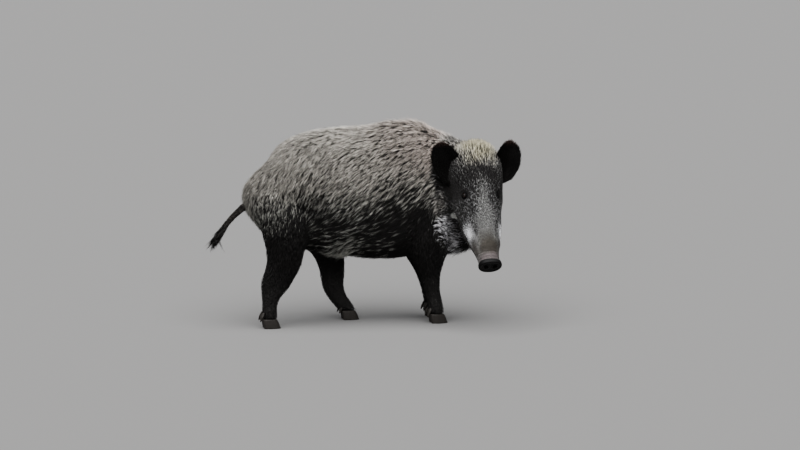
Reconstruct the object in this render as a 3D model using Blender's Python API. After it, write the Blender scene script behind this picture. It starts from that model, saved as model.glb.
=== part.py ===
"""A wild boar at life size, standing with its head turned to its right.

The flesh is drawn as lofts: egg-shaped rings carried along the trunk, the neck, the head and
each leg. A voxel remesh joins them into one form, out to the tips of the coat, and thin cuts
part that form into trunk, neck, head, jaw and legs. Ears, tail, eyes, nose and hooves are
solids of their own. The boar faces +X, its right side is towards -Y, and its soles lie at z = 0.
"""

import math

import bmesh
import bpy
import numpy as np
from mathutils import Matrix, Vector

# Driving dimensions, in metres and degrees.
WITHERS_HEIGHT = 0.772  # from the soles to the tips of the crest hair
HEAD_LENGTH = 0.440  # from the poll to the middle of the nose disc
HEAD_HEADING = -89.5  # 0 would look along +X, and -90 looks to the boar's right
HEAD_PITCH = 54.0  # below the horizon
POLL = Vector((0.134, -0.105, 0.604))
EYE_RADIUS = 0.0125
EYE_PLACE = (0.160, 0.0600, 0.0380)  # along the head, to its side, out of its brow
NOSE_WIDTH = 0.085
NOSE_HEIGHT = 0.067
NOSE_TILT = 5.0  # how far the nose disc is lifted from square to the head
NOSE_THICKNESS = 0.0175
NOSTRIL_APART = 0.033
NOSTRIL_DEPTH = 0.010
CUT = 0.0004  # the width of each cut between two solids

# How the form is resampled.
VOXEL = 0.0095
RING_SIDES = 28
FLESH_TRIANGLES = 3900

HAIR_BROWN = (0.115, 0.098, 0.082, 1.0)
LEG_BLACK = (0.018, 0.016, 0.015, 1.0)
EAR_BLACK = (0.014, 0.012, 0.011, 1.0)
NOSE_BLACK = (0.022, 0.017, 0.018, 1.0)
HORN_GREY = (0.045, 0.040, 0.036, 1.0)
EYE_BROWN = (0.020, 0.012, 0.008, 1.0)

# Trunk rings: x, y of the spine, top, bottom, level of the widest point, half width,
# and the fullness of the upper and lower half (2 is an ellipse, less is more pointed).
TRUNK = (
    (-0.722, 0.000, 0.507, 0.455, 0.482, 0.020, 2.0, 2.0),
    (-0.705, 0.000, 0.545, 0.420, 0.475, 0.062, 2.0, 2.0),
    (-0.672, 0.002, 0.581, 0.375, 0.465, 0.105, 2.0, 2.0),
    (-0.628, 0.004, 0.622, 0.330, 0.460, 0.132, 2.0, 2.1),
    (-0.575, 0.007, 0.684, 0.302, 0.465, 0.150, 2.0, 2.2),
    (-0.510, 0.010, 0.718, 0.284, 0.472, 0.156, 1.95, 2.2),
    (-0.430, 0.012, 0.737, 0.270, 0.468, 0.158, 1.9, 2.2),
    (-0.340, 0.012, 0.747, 0.252, 0.455, 0.166, 1.9, 2.2),
    (-0.240, 0.010, 0.755, 0.241, 0.445, 0.177, 1.85, 2.2),
    (-0.150, 0.005, WITHERS_HEIGHT, 0.240, 0.450, 0.180, 1.75, 2.2),
    (-0.085, 0.001, 0.771, 0.246, 0.465, 0.174, 1.75, 2.1),
    (-0.015, -0.006, 0.754, 0.262, 0.475, 0.156, 1.9, 2.1),
    (0.045, -0.018, 0.700, 0.300, 0.490, 0.118, 2.0, 2.0),
)

# Neck rings: x, y, heading in degrees, top, bottom, level of the widest point, half width.
NECK = (
    (-0.090, 0.004, -4.0, 0.740, 0.290, 0.480, 0.150),
    (-0.010, -0.004, -14.0, 0.742, 0.272, 0.480, 0.158),
    (0.048, -0.024, -34.0, 0.722, 0.256, 0.475, 0.152),
    (0.090, -0.058, -58.0, 0.698, 0.256, 0.480, 0.138),
    (0.118, -0.092, -78.0, 0.688, 0.282, 0.500, 0.122),
    (0.130, -0.130, -89.0, 0.676, 0.345, 0.530, 0.104),
)

# Head rings in the head's own frame, from the poll towards the nose: distance along the head,
# top, bottom, level of the widest point, half width, fullness above and below.
HEAD = (
    (-0.060, 0.086, -0.110, -0.005, 0.076, 2.0, 2.0),
    (-0.020, 0.116, -0.145, -0.012, 0.098, 2.1, 2.0),
    (0.030, 0.117, -0.166, -0.020, 0.108, 2.2, 2.0),
    (0.075, 0.105, -0.170, -0.028, 0.108, 2.2, 2.0),
    (0.120, 0.087, -0.158, -0.030, 0.101, 2.2, 2.1),
    (0.170, 0.071, -0.138, -0.032, 0.091, 2.2, 2.1),
    (0.225, 0.058, -0.116, -0.034, 0.082, 2.1, 2.1),
    (0.280, 0.049, -0.098, -0.032, 0.075, 2.1, 2.1),
    (0.325, 0.044, -0.082, -0.022, 0.061, 2.2, 2.1),
    (0.365, 0.040, -0.068, -0.012, 0.048, 2.2, 2.1),
    (0.402, 0.037, -0.052, -0.004, 0.042, 2.1, 2.0),
    (0.440, 0.035, -0.036, 0.000, 0.040, 2.0, 2.0),
)

# Leg rings from the body down: x, y outwards, z, half length along the body, half width.
FORE_LEG = (
    (-0.070, 0.096, 0.520, 0.070, 0.046),
    (-0.050, 0.104, 0.430, 0.092, 0.058),
    (-0.038, 0.105, 0.345, 0.090, 0.060),
    (-0.033, 0.100, 0.280, 0.076, 0.052),
    (-0.030, 0.092, 0.232, 0.058, 0.043),
    (-0.025, 0.086, 0.190, 0.042, 0.036),
    (-0.021, 0.082, 0.155, 0.0355, 0.034),
    (-0.014, 0.079, 0.118, 0.031, 0.029),
    (-0.006, 0.077, 0.080, 0.031, 0.030),
    (0.000, 0.076, 0.052, 0.032, 0.033),
    (0.004, 0.076, 0.037, 0.032, 0.033),
)
HIND_LEG_BACK = (
    (-0.575, 0.080, 0.520, 0.100, 0.048),
    (-0.575, 0.092, 0.440, 0.108, 0.062),
    (-0.575, 0.096, 0.370, 0.096, 0.062),
    (-0.578, 0.093, 0.300, 0.076, 0.053),
    (-0.583, 0.087, 0.245, 0.067, 0.043),
    (-0.600, 0.082, 0.200, 0.060, 0.036),
    (-0.617, 0.079, 0.160, 0.056, 0.033),
    (-0.632, 0.077, 0.118, 0.038, 0.029),
    (-0.637, 0.076, 0.080, 0.030, 0.029),
    (-0.637, 0.075, 0.052, 0.031, 0.032),
    (-0.634, 0.075, 0.037, 0.031, 0.032),
)
HIND_LEG_FORWARD = (
    (-0.560, 0.080, 0.520, 0.105, 0.048),
    (-0.500, 0.094, 0.430, 0.118, 0.062),
    (-0.435, 0.098, 0.350, 0.098, 0.062),
    (-0.392, 0.094, 0.285, 0.073, 0.053),
    (-0.376, 0.087, 0.228, 0.057, 0.043),
    (-0.371, 0.082, 0.185, 0.049, 0.036),
    (-0.371, 0.079, 0.145, 0.046, 0.033),
    (-0.362, 0.077, 0.108, 0.040, 0.029),
    (-0.343, 0.076, 0.075, 0.034, 0.029),
    (-0.322, 0.075, 0.050, 0.032, 0.032),
    (-0.308, 0.075, 0.037, 0.031, 0.032),
)
KNEE = 6  # the row at the wrist or the hock, where the lower leg begins
LEG_ROWS = len(FORE_LEG)
# Each leg: its rings, its side (-1 is the boar's right) and how far its foot stands forward.
LEGS = {
    "fore_leg_right": (FORE_LEG, -1, 0.0),
    "fore_leg_left": (FORE_LEG, 1, 0.018),
    "hind_leg_right": (HIND_LEG_BACK, -1, 0.0),
    "hind_leg_left": (HIND_LEG_FORWARD, 1, 0.0),
}
TERRITORY = 0.024  # how far a leg's cutter stands outside its loft
BELOW_FOOT = 0.012  # how far a leg's cutter runs past the leg's end

# Hooves: half of each foot is one toe, with a dewclaw behind and above it.
TOE_LENGTH = 0.061
TOE_WIDTH = 0.029
TOE_HEIGHT = 0.036
CLEFT = 0.005
DEWCLAW_LENGTH = 0.036
DEWCLAW_RADIUS = 0.0105

# Ears: rooted at a place in the head's frame, and nearly upright whatever the head's pitch.
EAR_ROOT = Vector((0.074, 0.108, 0.014))
EAR_SINK = 0.014  # how far the ear's foot lies below its root
EAR_LENGTH = {"ear_right": 0.160, "ear_left": 0.172}  # the right one stands less erect
EAR_WIDTH = 0.107
EAR_CUP = 0.034
EAR_THICKNESS = 0.011
EAR_LEAN = 5.0  # outwards from upright
EAR_TURN = 14.0  # its hollow side faces forwards and this far outwards

# Tail: the points that its bone passes, and its thickness there.
TAIL = (
    (-0.690, 0.003, 0.470, 0.0140),
    (-0.722, 0.004, 0.446, 0.0125),
    (-0.752, 0.006, 0.420, 0.0108),
    (-0.779, 0.008, 0.391, 0.0100),
    (-0.800, 0.009, 0.362, 0.0110),
    (-0.820, 0.009, 0.331, 0.0160),
    (-0.836, 0.008, 0.303, 0.0125),
    (-0.844, 0.008, 0.286, 0.0035),
)
TUFT_START = 4  # the tail's ring where its brush begins


def finish_material(name, colour, roughness):
    """A plain material with one colour."""
    material = bpy.data.materials.new(name)
    material.use_nodes = True
    shader = material.node_tree.nodes["Principled BSDF"]
    shader.inputs["Base Color"].default_value = colour
    shader.inputs["Roughness"].default_value = roughness
    shader.inputs["Metallic"].default_value = 0.0
    return material


def smooth_rows(rows, steps):
    """Rows read from the Catmull-Rom curve through these rows, with steps to each span."""
    rows = np.array(rows, float)
    padded = np.vstack((2 * rows[0] - rows[1], rows, 2 * rows[-1] - rows[-2]))
    t = (np.arange(steps) / steps)[:, None]
    spans = []
    for a, b, c, d in zip(padded, padded[1:], padded[2:], padded[3:]):
        bend = 2 * b + (c - a) * t + (2 * a - 5 * b + 4 * c - d) * t**2
        spans.append((bend + (3 * b - a - 3 * c + d) * t**3) / 2)
    return np.vstack(spans + [rows[-1:]])


def egg_ring(half_width, rise, drop, above=2.0, below=2.0, sides=RING_SIDES):
    """(across, up) of a ring: superellipse halves that rise and drop from its widest level."""
    turn = np.arange(sides) * math.tau / sides
    across, up = np.sin(turn), np.cos(turn)
    power = np.where(up > 0, 2 / above, 2 / below)
    reach = np.where(up > 0, rise, drop)
    return np.column_stack((
        half_width * np.sign(across) * np.abs(across) ** power,
        reach * np.sign(up) * np.abs(up) ** power,
    ))


def loft_mesh(name, rings):
    """A closed mesh through these rings of equal length, with its two ends capped."""
    rings = [np.asarray(ring, float) for ring in rings]
    sides = len(rings[0])
    faces = []
    for row in range(len(rings) - 1):
        low, high = row * sides, (row + 1) * sides
        for k in range(sides):
            after = (k + 1) % sides
            faces.append((low + k, low + after, high + after))
            faces.append((low + k, high + after, high + k))
    last = (len(rings) - 1) * sides
    faces.append(tuple(range(sides - 1, -1, -1)))
    faces.append(tuple(range(last, last + sides)))
    mesh = bpy.data.meshes.new(name)
    mesh.from_pydata(np.vstack(rings).tolist(), [], faces)
    work = bmesh.new()
    work.from_mesh(mesh)
    bmesh.ops.recalc_face_normals(work, faces=work.faces[:])
    work.to_mesh(mesh)
    work.free()
    return mesh


def placed(name, mesh, helper=False, material=None, parent=None):
    """An object that holds this mesh. A helper only cuts or guides other objects."""
    obj = bpy.data.objects.new(name, mesh)
    bpy.context.scene.collection.objects.link(obj)
    obj.parent = parent
    if helper:
        obj.hide_render = True
        obj.display_type = "WIRE"
    if material:
        obj.data.materials.append(material)
    return obj


def head_frame():
    """The head's frame: +X runs from the poll to the nose, +Y to its left, +Z out of its brow."""
    heading, pitch = math.radians(HEAD_HEADING), math.radians(HEAD_PITCH)
    turn = Matrix.Rotation(heading, 4, "Z") @ Matrix.Rotation(pitch, 4, "Y")
    return Matrix.Translation(POLL) @ turn


def in_frame(frame, points):
    """These points of a frame, in the boar's own coordinates."""
    turn = np.array(frame)
    return np.asarray(points, float) @ turn[:3, :3].T + turn[:3, 3]


def trunk_rings():
    """Upright rings across the spine, from the tail root to the breast."""
    rings = []
    for x, y, top, bottom, widest, half, above, below in smooth_rows(TRUNK, 4):
        egg = egg_ring(half, top - widest, widest - bottom, above, below)
        rings.append(np.column_stack((np.full(len(egg), x), y + egg[:, 0], widest + egg[:, 1])))
    return rings


def neck_rings():
    """Upright rings that turn from the shoulders to the head."""
    rings = []
    for x, y, heading, top, bottom, widest, half in smooth_rows(NECK, 4):
        egg = egg_ring(half, top - widest, widest - bottom, 1.9, 2.0)
        turn = math.radians(heading)
        rings.append(np.column_stack((
            x - egg[:, 0] * math.sin(turn),
            y + egg[:, 0] * math.cos(turn),
            widest + egg[:, 1],
        )))
    return rings


def head_rings():
    """Rings square to the head, from behind the poll to the nose."""
    rings = []
    for along, top, bottom, widest, half, above, below in smooth_rows(HEAD, 4):
        egg = egg_ring(half, top - widest, widest - bottom, above, below)
        local = np.column_stack((np.full(len(egg), along), egg[:, 0], widest + egg[:, 1]))
        rings.append(in_frame(head_frame(), local))
    return rings


def leg_path(leg):
    """A leg's smoothed rows: x, y, z, half length and half width, its foot moved forward."""
    rows, side, forward = LEGS[leg]
    rows = np.array(rows, float)
    low = np.clip((rows[2, 2] - rows[:, 2]) / (rows[2, 2] - rows[KNEE, 2]), 0, 1)
    rows[:, 0] += forward * low
    rows[:, 1] *= side
    return smooth_rows(rows, 3)


def leg_rings(leg):
    """Rings tilted a little with the leg's own path, the last of them level."""
    path = leg_path(leg)
    slope = np.gradient(path[:, 0]) / np.gradient(path[:, 2])
    slope[-3:] = 0
    rings = []
    for row, lean in zip(path, slope):
        x, y, z, half_length, half_width = row
        egg = egg_ring(half_width, half_length, half_length, 2.2, 2.2)
        tilt = math.atan(lean) * 0.6
        rings.append(np.column_stack((
            x + egg[:, 1] * math.cos(tilt),
            y + egg[:, 0],
            z - egg[:, 1] * math.sin(tilt),
        )))
    return rings


def leg_cutter(leg, grow, first, last):
    """Level six-sided rings around every second row of the leg, standing outside it."""
    rings = []
    for row in range(first, last, 2):
        x, y, z, half_length, half_width = leg_path(leg)[row * 3]
        egg = egg_ring(half_width + grow, half_length + grow, half_length + grow, sides=6)
        rings.append(np.column_stack((x + egg[:, 1], y + egg[:, 0], np.full(6, z))))
    return rings


def whole_form():
    """One closed mesh of trunk, neck, head and legs: their lofts remeshed and smoothed."""
    parts = [loft_mesh("lofts", trunk_rings()), loft_mesh("lofts", neck_rings())]
    parts.append(loft_mesh("lofts", head_rings()))
    parts += [loft_mesh("lofts", leg_rings(leg)) for leg in LEGS]
    work = bmesh.new()
    for mesh in parts:
        work.from_mesh(mesh)
    joined = bpy.data.meshes.new("form")
    work.to_mesh(joined)
    work.free()
    guide = placed("form_guide", joined, helper=True)
    remesh = guide.modifiers.new("join", "REMESH")
    remesh.mode = "VOXEL"
    remesh.voxel_size = VOXEL
    ease = guide.modifiers.new("ease", "SMOOTH")
    ease.factor = 0.5
    ease.iterations = 7
    thin = guide.modifiers.new("thin", "DECIMATE")
    graph = bpy.context.evaluated_depsgraph_get()
    thin.ratio = 1.0
    fine = bpy.data.meshes.new_from_object(guide.evaluated_get(graph))
    fine.calc_loop_triangles()
    thin.ratio = FLESH_TRIANGLES / len(fine.loop_triangles)
    graph.update()
    form = bpy.data.meshes.new_from_object(guide.evaluated_get(graph))
    bpy.data.objects.remove(guide)
    return form


def boolean(obj, operation, other):
    """Cuts obj by other, or keeps what the two share."""
    cut = obj.modifiers.new(operation.lower(), "BOOLEAN")
    cut.operation = operation
    cut.solver = "EXACT"
    cut.object = other


def grown(name, mesh, distance):
    """A helper whose surface stands this far outside the mesh."""
    helper = placed(name, mesh.copy(), helper=True)
    swell = helper.modifiers.new("swell", "DISPLACE")
    swell.strength = distance
    swell.mid_level = 0.0
    return helper


def cutter(name, rings):
    return placed(name, loft_mesh(name, rings), helper=True)


def frame_box(name, frame, grow, low, high):
    """A box between two corners of a frame, standing out this far more on every side."""
    mesh = bpy.data.meshes.new(name)
    work = bmesh.new()
    bmesh.ops.create_cube(work, size=1.0)
    low, high = Vector(low), Vector(high)
    size = Matrix.Diagonal((*(high - low + Vector((grow, grow, grow)) * 2), 1.0))
    middle = Matrix.Translation((low + high) / 2)
    bmesh.ops.transform(work, matrix=frame @ middle @ size, verts=work.verts[:])
    work.to_mesh(mesh)
    work.free()
    return placed(name, mesh, helper=True)


# The head ends at a plane square to it, just behind the ears.
SKULL = dict(low=(0.0, -0.124, -0.180), high=(0.50, 0.124, 0.170))
# The neck ends at a slanted plane in front of the shoulders.
COLLAR = dict(low=(0.0, -0.50, -0.40), high=(0.50, 0.30, 0.40))
# The jaw lies below a plane in the head, from the lips to the cheek.
JAW = dict(low=(0.150, -0.20, -0.200), high=(0.480, 0.20, 0.0))


def collar_frame():
    """A frame whose +X leads out of the shoulders into the neck."""
    turn = Matrix.Rotation(math.radians(-14), 4, "Z") @ Matrix.Rotation(math.radians(-12), 4, "Y")
    return Matrix.Translation((0.025, 0, 0.50)) @ turn


def jaw_frame():
    """The head's frame, moved to the line of the lips and turned with it."""
    lips = Matrix.Translation((0, 0, -0.046)) @ Matrix.Rotation(math.radians(-4), 4, "Y")
    return head_frame() @ lips


def flesh_nodes(form, root):
    """Trunk, neck, head, jaw and legs: the form shared out among their cutters."""
    coat = finish_material("coat", HAIR_BROWN, 0.85)
    dark = finish_material("dark_coat", LEG_BLACK, 0.85)
    heads = {g: frame_box(f"cut_head_{k}", head_frame(), g, **SKULL)
             for k, g in enumerate((0.0, CUT))}
    necks = {g: frame_box(f"cut_neck_{k}", collar_frame(), g, **COLLAR)
             for k, g in enumerate((0.0, CUT))}
    jaws = {g: frame_box(f"cut_jaw_{k}", jaw_frame(), g, **JAW)
            for k, g in enumerate((0.0, CUT))}

    def share(name, keep, drop, material):
        node = placed(name, form.copy(), material=material, parent=root)
        for helper in keep:
            boolean(node, "INTERSECT", helper)
        for helper in drop:
            boolean(node, "DIFFERENCE", helper)
        return node

    head = share("head", [heads[0.0]], [jaws[CUT]], coat)
    jaw = share("lower_jaw", [heads[0.0], jaws[0.0]], [], coat)
    share("neck", [necks[0.0]], [heads[CUT]], coat)
    taken = [heads[CUT], necks[CUT]]
    for leg in LEGS:
        upper = leg_cutter(leg, TERRITORY, 0, KNEE + 1)
        lower = leg_cutter(leg, TERRITORY, KNEE, LEG_ROWS)
        lower[0][:, 2] -= CUT
        lower[-1][:, 2] -= BELOW_FOOT
        whole = leg_cutter(leg, TERRITORY + CUT, 0, LEG_ROWS)
        whole[0][:, 2] += CUT
        whole[-1][:, 2] -= BELOW_FOOT + CUT
        taken.append(cutter(f"cut_{leg}", whole))
        share(leg + "_upper", [cutter(f"cut_{leg}_u", upper)], taken[:2], dark)
        share(leg + "_lower", [cutter(f"cut_{leg}_l", lower)], [], dark)
    share("trunk", [], taken, coat)
    return head, jaw


def eye_nodes(head, root):
    """Two eyeballs, and the sockets that the head gives them."""
    dark = finish_material("eye", EYE_BROWN, 0.08)
    for name, side in (("eye_right", -1), ("eye_left", 1)):
        centre = head_frame() @ Vector((EYE_PLACE[0], side * EYE_PLACE[1], EYE_PLACE[2]))
        for helper, radius in ((False, EYE_RADIUS), (True, EYE_RADIUS + CUT)):
            mesh = bpy.data.meshes.new(name)
            work = bmesh.new()
            bmesh.ops.create_uvsphere(work, u_segments=12, v_segments=8, radius=radius)
            work.to_mesh(mesh)
            work.free()
            ball = placed(name + "_socket" * helper, mesh, helper, None if helper else dark, root)
            ball.location = centre
            if helper:
                boolean(head, "DIFFERENCE", ball)
            else:
                mesh.shade_smooth()


def nose_node(head, jaw, root):
    """The nose disc, its two nostrils, and the flat end of the snout that carries it."""
    frame = head_frame() @ Matrix.Translation((HEAD_LENGTH - NOSE_THICKNESS * 0.7, 0, 0.001))
    frame = frame @ Matrix.Rotation(math.radians(-NOSE_TILT), 4, "Y")
    rings = []
    for depth, share in ((0.0, 0.93), (0.23, 1.0), (0.63, 1.0), (0.89, 0.95), (1.0, 0.84)):
        half_height = NOSE_HEIGHT / 2 * share
        egg = egg_ring(NOSE_WIDTH / 2 * share, half_height, half_height, 2.3, 2.1, 20)
        local = np.column_stack((np.full(len(egg), depth * NOSE_THICKNESS), egg))
        rings.append(in_frame(frame, local))
    disc = placed("nose_disc", loft_mesh("nose_disc", rings), parent=root,
                  material=finish_material("nose", NOSE_BLACK, 0.35))
    for side in (-1, 1):
        bore = []
        for along in (NOSE_THICKNESS - NOSTRIL_DEPTH, NOSE_THICKNESS + NOSTRIL_DEPTH):
            egg = egg_ring(0.0068, 0.0085, 0.0085, sides=8)
            across = side * (NOSTRIL_APART / 2 + egg[:, 1] * 0.35) + egg[:, 0]
            local = np.column_stack((np.full(len(egg), along), across, egg[:, 1] + 0.002))
            bore.append(in_frame(frame, local))
        boolean(disc, "DIFFERENCE", cutter(f"cut_nostril_{side}", bore))
    square = frame_box("cut_snout", frame, 0.0, (-CUT, -0.2, -0.2), (0.12, 0.2, 0.2))
    boolean(head, "DIFFERENCE", square)
    boolean(jaw, "DIFFERENCE", square)


def ear_nodes(clearance, root):
    """Two cupped leaves, broad in the middle and rounded at the tip, rooted on the head."""
    black = finish_material("ear", EAR_BLACK, 0.8)
    turn = np.linspace(-1.0, 1.0, 7)
    for name, side in (("ear_right", -1), ("ear_left", 1)):
        root_at = head_frame() @ Vector((EAR_ROOT.x, side * EAR_ROOT.y, EAR_ROOT.z))
        heading = math.radians(HEAD_HEADING + side * EAR_TURN)
        frame = Matrix.Translation(root_at) @ Matrix.Rotation(heading, 4, "Z")
        frame = frame @ Matrix.Rotation(math.radians(-side * EAR_LEAN), 4, "X")
        rings = []
        for t in (0.04, 0.14, 0.30, 0.48, 0.66, 0.81, 0.91, 0.97, 0.99):
            leaf = (1 - abs(2 * t - 1) ** 2.5) ** 0.5
            half = EAR_WIDTH / 2 * leaf
            deep = EAR_CUP * leaf * (1.15 - 0.5 * t)
            thick = EAR_THICKNESS * (1.3 - 0.7 * t)
            dish = deep * (0.5 - (1 - turn**2))
            outer = np.column_stack((dish - thick / 2, turn * half))
            inner = np.column_stack((dish + thick / 2, turn * half * 0.93))[::-1]
            flat = np.vstack((outer, inner))
            height = np.full(len(flat), t * EAR_LENGTH[name] - EAR_SINK)
            rings.append(in_frame(frame, np.column_stack((flat, height))))
        ear = placed(name, loft_mesh(name, rings), material=black, parent=root)
        boolean(ear, "DIFFERENCE", clearance)


def tail_nodes(clearance, root):
    """The tail's round length, and the brush of hair on its end."""
    brown = finish_material("tail", LEG_BLACK, 0.85)
    path = smooth_rows(TAIL, 3)
    slopes = np.gradient(path[:, :3], axis=0)
    rings = []
    for (x, y, z, radius), slope in zip(path, slopes):
        turn = Vector(slope).to_track_quat("Z", "Y").to_matrix().to_4x4()
        egg = egg_ring(radius, radius, radius, sides=10)
        local = np.column_stack((egg, np.zeros(len(egg))))
        rings.append(in_frame(Matrix.Translation((x, y, z)) @ turn, local))
    split = TUFT_START * 3
    stem = placed("tail", loft_mesh("tail", rings[: split + 1]), material=brown, parent=root)
    boolean(stem, "DIFFERENCE", clearance)
    step = slopes[split] / np.linalg.norm(slopes[split]) * CUT
    brush = [rings[split] + step] + rings[split + 1 :]
    placed("tail_brush", loft_mesh("tail_brush", brush), material=brown, parent=root)


def hoof_nodes(clearance, root):
    """Two toes and two dewclaws on each foot, all the toes flat at z = 0."""
    horn = finish_material("horn", HORN_GREY, 0.45)
    levels = ((0.0, 1.0), (0.5, 0.95), (1.0, 0.84))
    outline = np.array(((-0.40, 0.34), (0.0, 0.50), (0.40, 0.34), (0.58, 0.02), (0.56, -0.30),
                        (0.20, -0.48), (-0.34, -0.48), (-0.46, 0.0)))
    for leg in LEGS:
        foot = leg_path(leg)[-1]
        for toe, out in (("outer", 1), ("inner", -1)):
            side = LEGS[leg][1] * out
            rings = []
            for level, size in levels:
                z = TOE_HEIGHT * level
                x = foot[0] + 0.002 - 0.009 * level + outline[:, 0] * TOE_LENGTH * size
                y = outline[:, 1] * TOE_WIDTH * size
                y = foot[1] + side * ((CLEFT + TOE_WIDTH) / 2 + y)
                rings.append(np.column_stack((x, y, np.full(len(x), z))))
            name = leg.replace("leg", "hoof") + "_" + toe
            placed(name, loft_mesh(name, rings), material=horn, parent=root)
            claw = []
            for t, share in ((0.0, 0.85), (0.45, 1.0), (1.0, 0.3)):
                egg = egg_ring(DEWCLAW_RADIUS * share, DEWCLAW_RADIUS * share * 0.8,
                               DEWCLAW_RADIUS * share * 0.8, sides=6)
                claw.append(np.column_stack((
                    foot[0] - 0.027 - 0.014 * t + egg[:, 1],
                    foot[1] + side * (0.014 + 0.010 * t) + egg[:, 0],
                    0.062 - DEWCLAW_LENGTH * t + egg[:, 1] * 0.3,
                )))
            name = leg.replace("leg", "dewclaw") + "_" + toe
            dewclaw = placed(name, loft_mesh(name, claw), material=horn, parent=root)
            boolean(dewclaw, "DIFFERENCE", clearance)


def set_origin(root):
    """Moves the boar so that the origin lies below the middle of its box, on the floor."""
    bpy.context.view_layer.update()
    graph = bpy.context.evaluated_depsgraph_get()
    corners = []
    for obj in bpy.context.scene.objects:
        if obj.type == "MESH" and not obj.hide_render:
            seen = obj.evaluated_get(graph)
            corners += [seen.matrix_world @ Vector(c) for c in seen.bound_box]
    low, high = np.min(corners, axis=0), np.max(corners, axis=0)
    root.location = (-(low[0] + high[0]) / 2, -(low[1] + high[1]) / 2, -low[2])
    bpy.context.view_layer.update()


def build():
    for obj in list(bpy.data.objects):
        bpy.data.objects.remove(obj)
    root = bpy.data.objects.new("boar", None)
    bpy.context.scene.collection.objects.link(root)
    form = whole_form()
    clearance = grown("form_clearance", form, CUT)
    head, jaw = flesh_nodes(form, root)
    eye_nodes(head, root)
    nose_node(head, jaw, root)
    ear_nodes(clearance, root)
    tail_nodes(clearance, root)
    hoof_nodes(clearance, root)
    for obj in bpy.context.scene.objects:
        if obj.hide_render:
            obj.parent = root
    set_origin(root)


build()
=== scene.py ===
"""A life-size wild boar in its winter coat, standing with its head lowered, as a museum shows one."""

import math

import bmesh
import bpy
import numpy as np
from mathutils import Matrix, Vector
from mathutils.kdtree import KDTree


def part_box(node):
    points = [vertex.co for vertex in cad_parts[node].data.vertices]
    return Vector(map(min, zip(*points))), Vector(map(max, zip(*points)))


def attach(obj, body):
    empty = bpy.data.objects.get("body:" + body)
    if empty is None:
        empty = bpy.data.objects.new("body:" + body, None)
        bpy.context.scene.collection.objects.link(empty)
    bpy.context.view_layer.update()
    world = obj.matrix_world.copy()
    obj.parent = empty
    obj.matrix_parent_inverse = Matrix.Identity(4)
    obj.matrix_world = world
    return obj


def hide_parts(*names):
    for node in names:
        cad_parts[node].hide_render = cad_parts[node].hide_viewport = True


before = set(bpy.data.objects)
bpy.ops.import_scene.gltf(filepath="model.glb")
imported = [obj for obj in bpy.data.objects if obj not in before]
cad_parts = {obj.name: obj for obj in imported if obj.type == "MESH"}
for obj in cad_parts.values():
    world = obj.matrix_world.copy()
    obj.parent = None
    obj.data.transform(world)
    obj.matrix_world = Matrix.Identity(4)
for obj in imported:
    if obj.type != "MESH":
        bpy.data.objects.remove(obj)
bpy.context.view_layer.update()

# ---------------------------------------------------------------------------
# The room: a pale floor under one broad soft light, seen from the boar's right
# front at a standing person's eye level, through a long lens.
# ---------------------------------------------------------------------------
CAMERA_PLACE = (-1.5145, -7.7232, 1.27)
CAMERA_DROP = 6.44  # degrees below the horizon
CAMERA_TURN = -12.0  # degrees from looking along +Y
LENS, SENSOR = 95.4, 36.0  # mm
SKY_PAINT, SKY_STRENGTH = (0.80, 0.84, 0.88, 1), 0.32
FLOOR_PAINT, FLOOR_ROUGHNESS = (0.127, 0.125, 0.123, 1), 0.9
FLOOR_HALF = 400.0  # half its side

camera = bpy.data.objects.new("camera", bpy.data.cameras.new("camera"))
camera.data.lens = LENS
camera.data.sensor_width = SENSOR
camera.location = CAMERA_PLACE
camera.rotation_euler = (math.radians(90 - CAMERA_DROP), 0, math.radians(CAMERA_TURN))
bpy.context.scene.collection.objects.link(camera)
bpy.context.scene.camera = camera


def sky_light(name, place, aim, spread, strength):
    """A broad soft sky from this place towards its aim, as wide as the spread in degrees."""
    lamp = bpy.data.lights.new(name, "SUN")
    lamp.angle = math.radians(spread)
    lamp.energy = strength
    obj = bpy.data.objects.new(name, lamp)
    obj.location = place
    obj.rotation_euler = (Vector(aim) - Vector(place)).to_track_quat("-Z", "Y").to_euler()
    bpy.context.scene.collection.objects.link(obj)


sky_light("overhead_light", (-0.5, -1.6, 4.0), (0, 0, 0.3), 75, 10.4)
sky_light("front_light", (-2.6, -6.0, 2.6), (0.1, 0, 0.4), 60, 0.45)

world = bpy.data.worlds.new("world")
world.use_nodes = True
sky = world.node_tree.nodes["Background"]
sky.inputs["Color"].default_value = SKY_PAINT
sky.inputs["Strength"].default_value = SKY_STRENGTH
bpy.context.scene.world = world

floor_mesh = bpy.data.meshes.new("floor")
floor_corners = [(x * FLOOR_HALF, y * FLOOR_HALF, 0) for x, y in ((-1, -1), (1, -1), (1, 1), (-1, 1))]
floor_mesh.from_pydata(floor_corners, [], [(0, 1, 2, 3)])
floor = bpy.data.objects.new("floor", floor_mesh)
bpy.context.scene.collection.objects.link(floor)
floor_paint = bpy.data.materials.new("floor_paint")
floor_paint.use_nodes = True
floor_shader = floor_paint.node_tree.nodes["Principled BSDF"]
floor_shader.inputs["Base Color"].default_value = FLOOR_PAINT
floor_shader.inputs["Roughness"].default_value = FLOOR_ROUGHNESS
floor_mesh.materials.append(floor_paint)

# ---------------------------------------------------------------------------
# The form under the coat: the measures that say where a point lies on the boar,
# along its backbone, round its body, and on its face.
# ---------------------------------------------------------------------------
HEAD_HEADING = -89.5  # the way the face looks, in degrees from +X
HEAD_PITCH = 54.0  # below the horizon
EYE_ALONG = 0.160  # from the poll towards the nose disc
EYE_OUT = 0.038  # out of the brow from the head's axis
HEAD_LENGTH = 0.440  # from the poll to the middle of the nose disc

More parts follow.
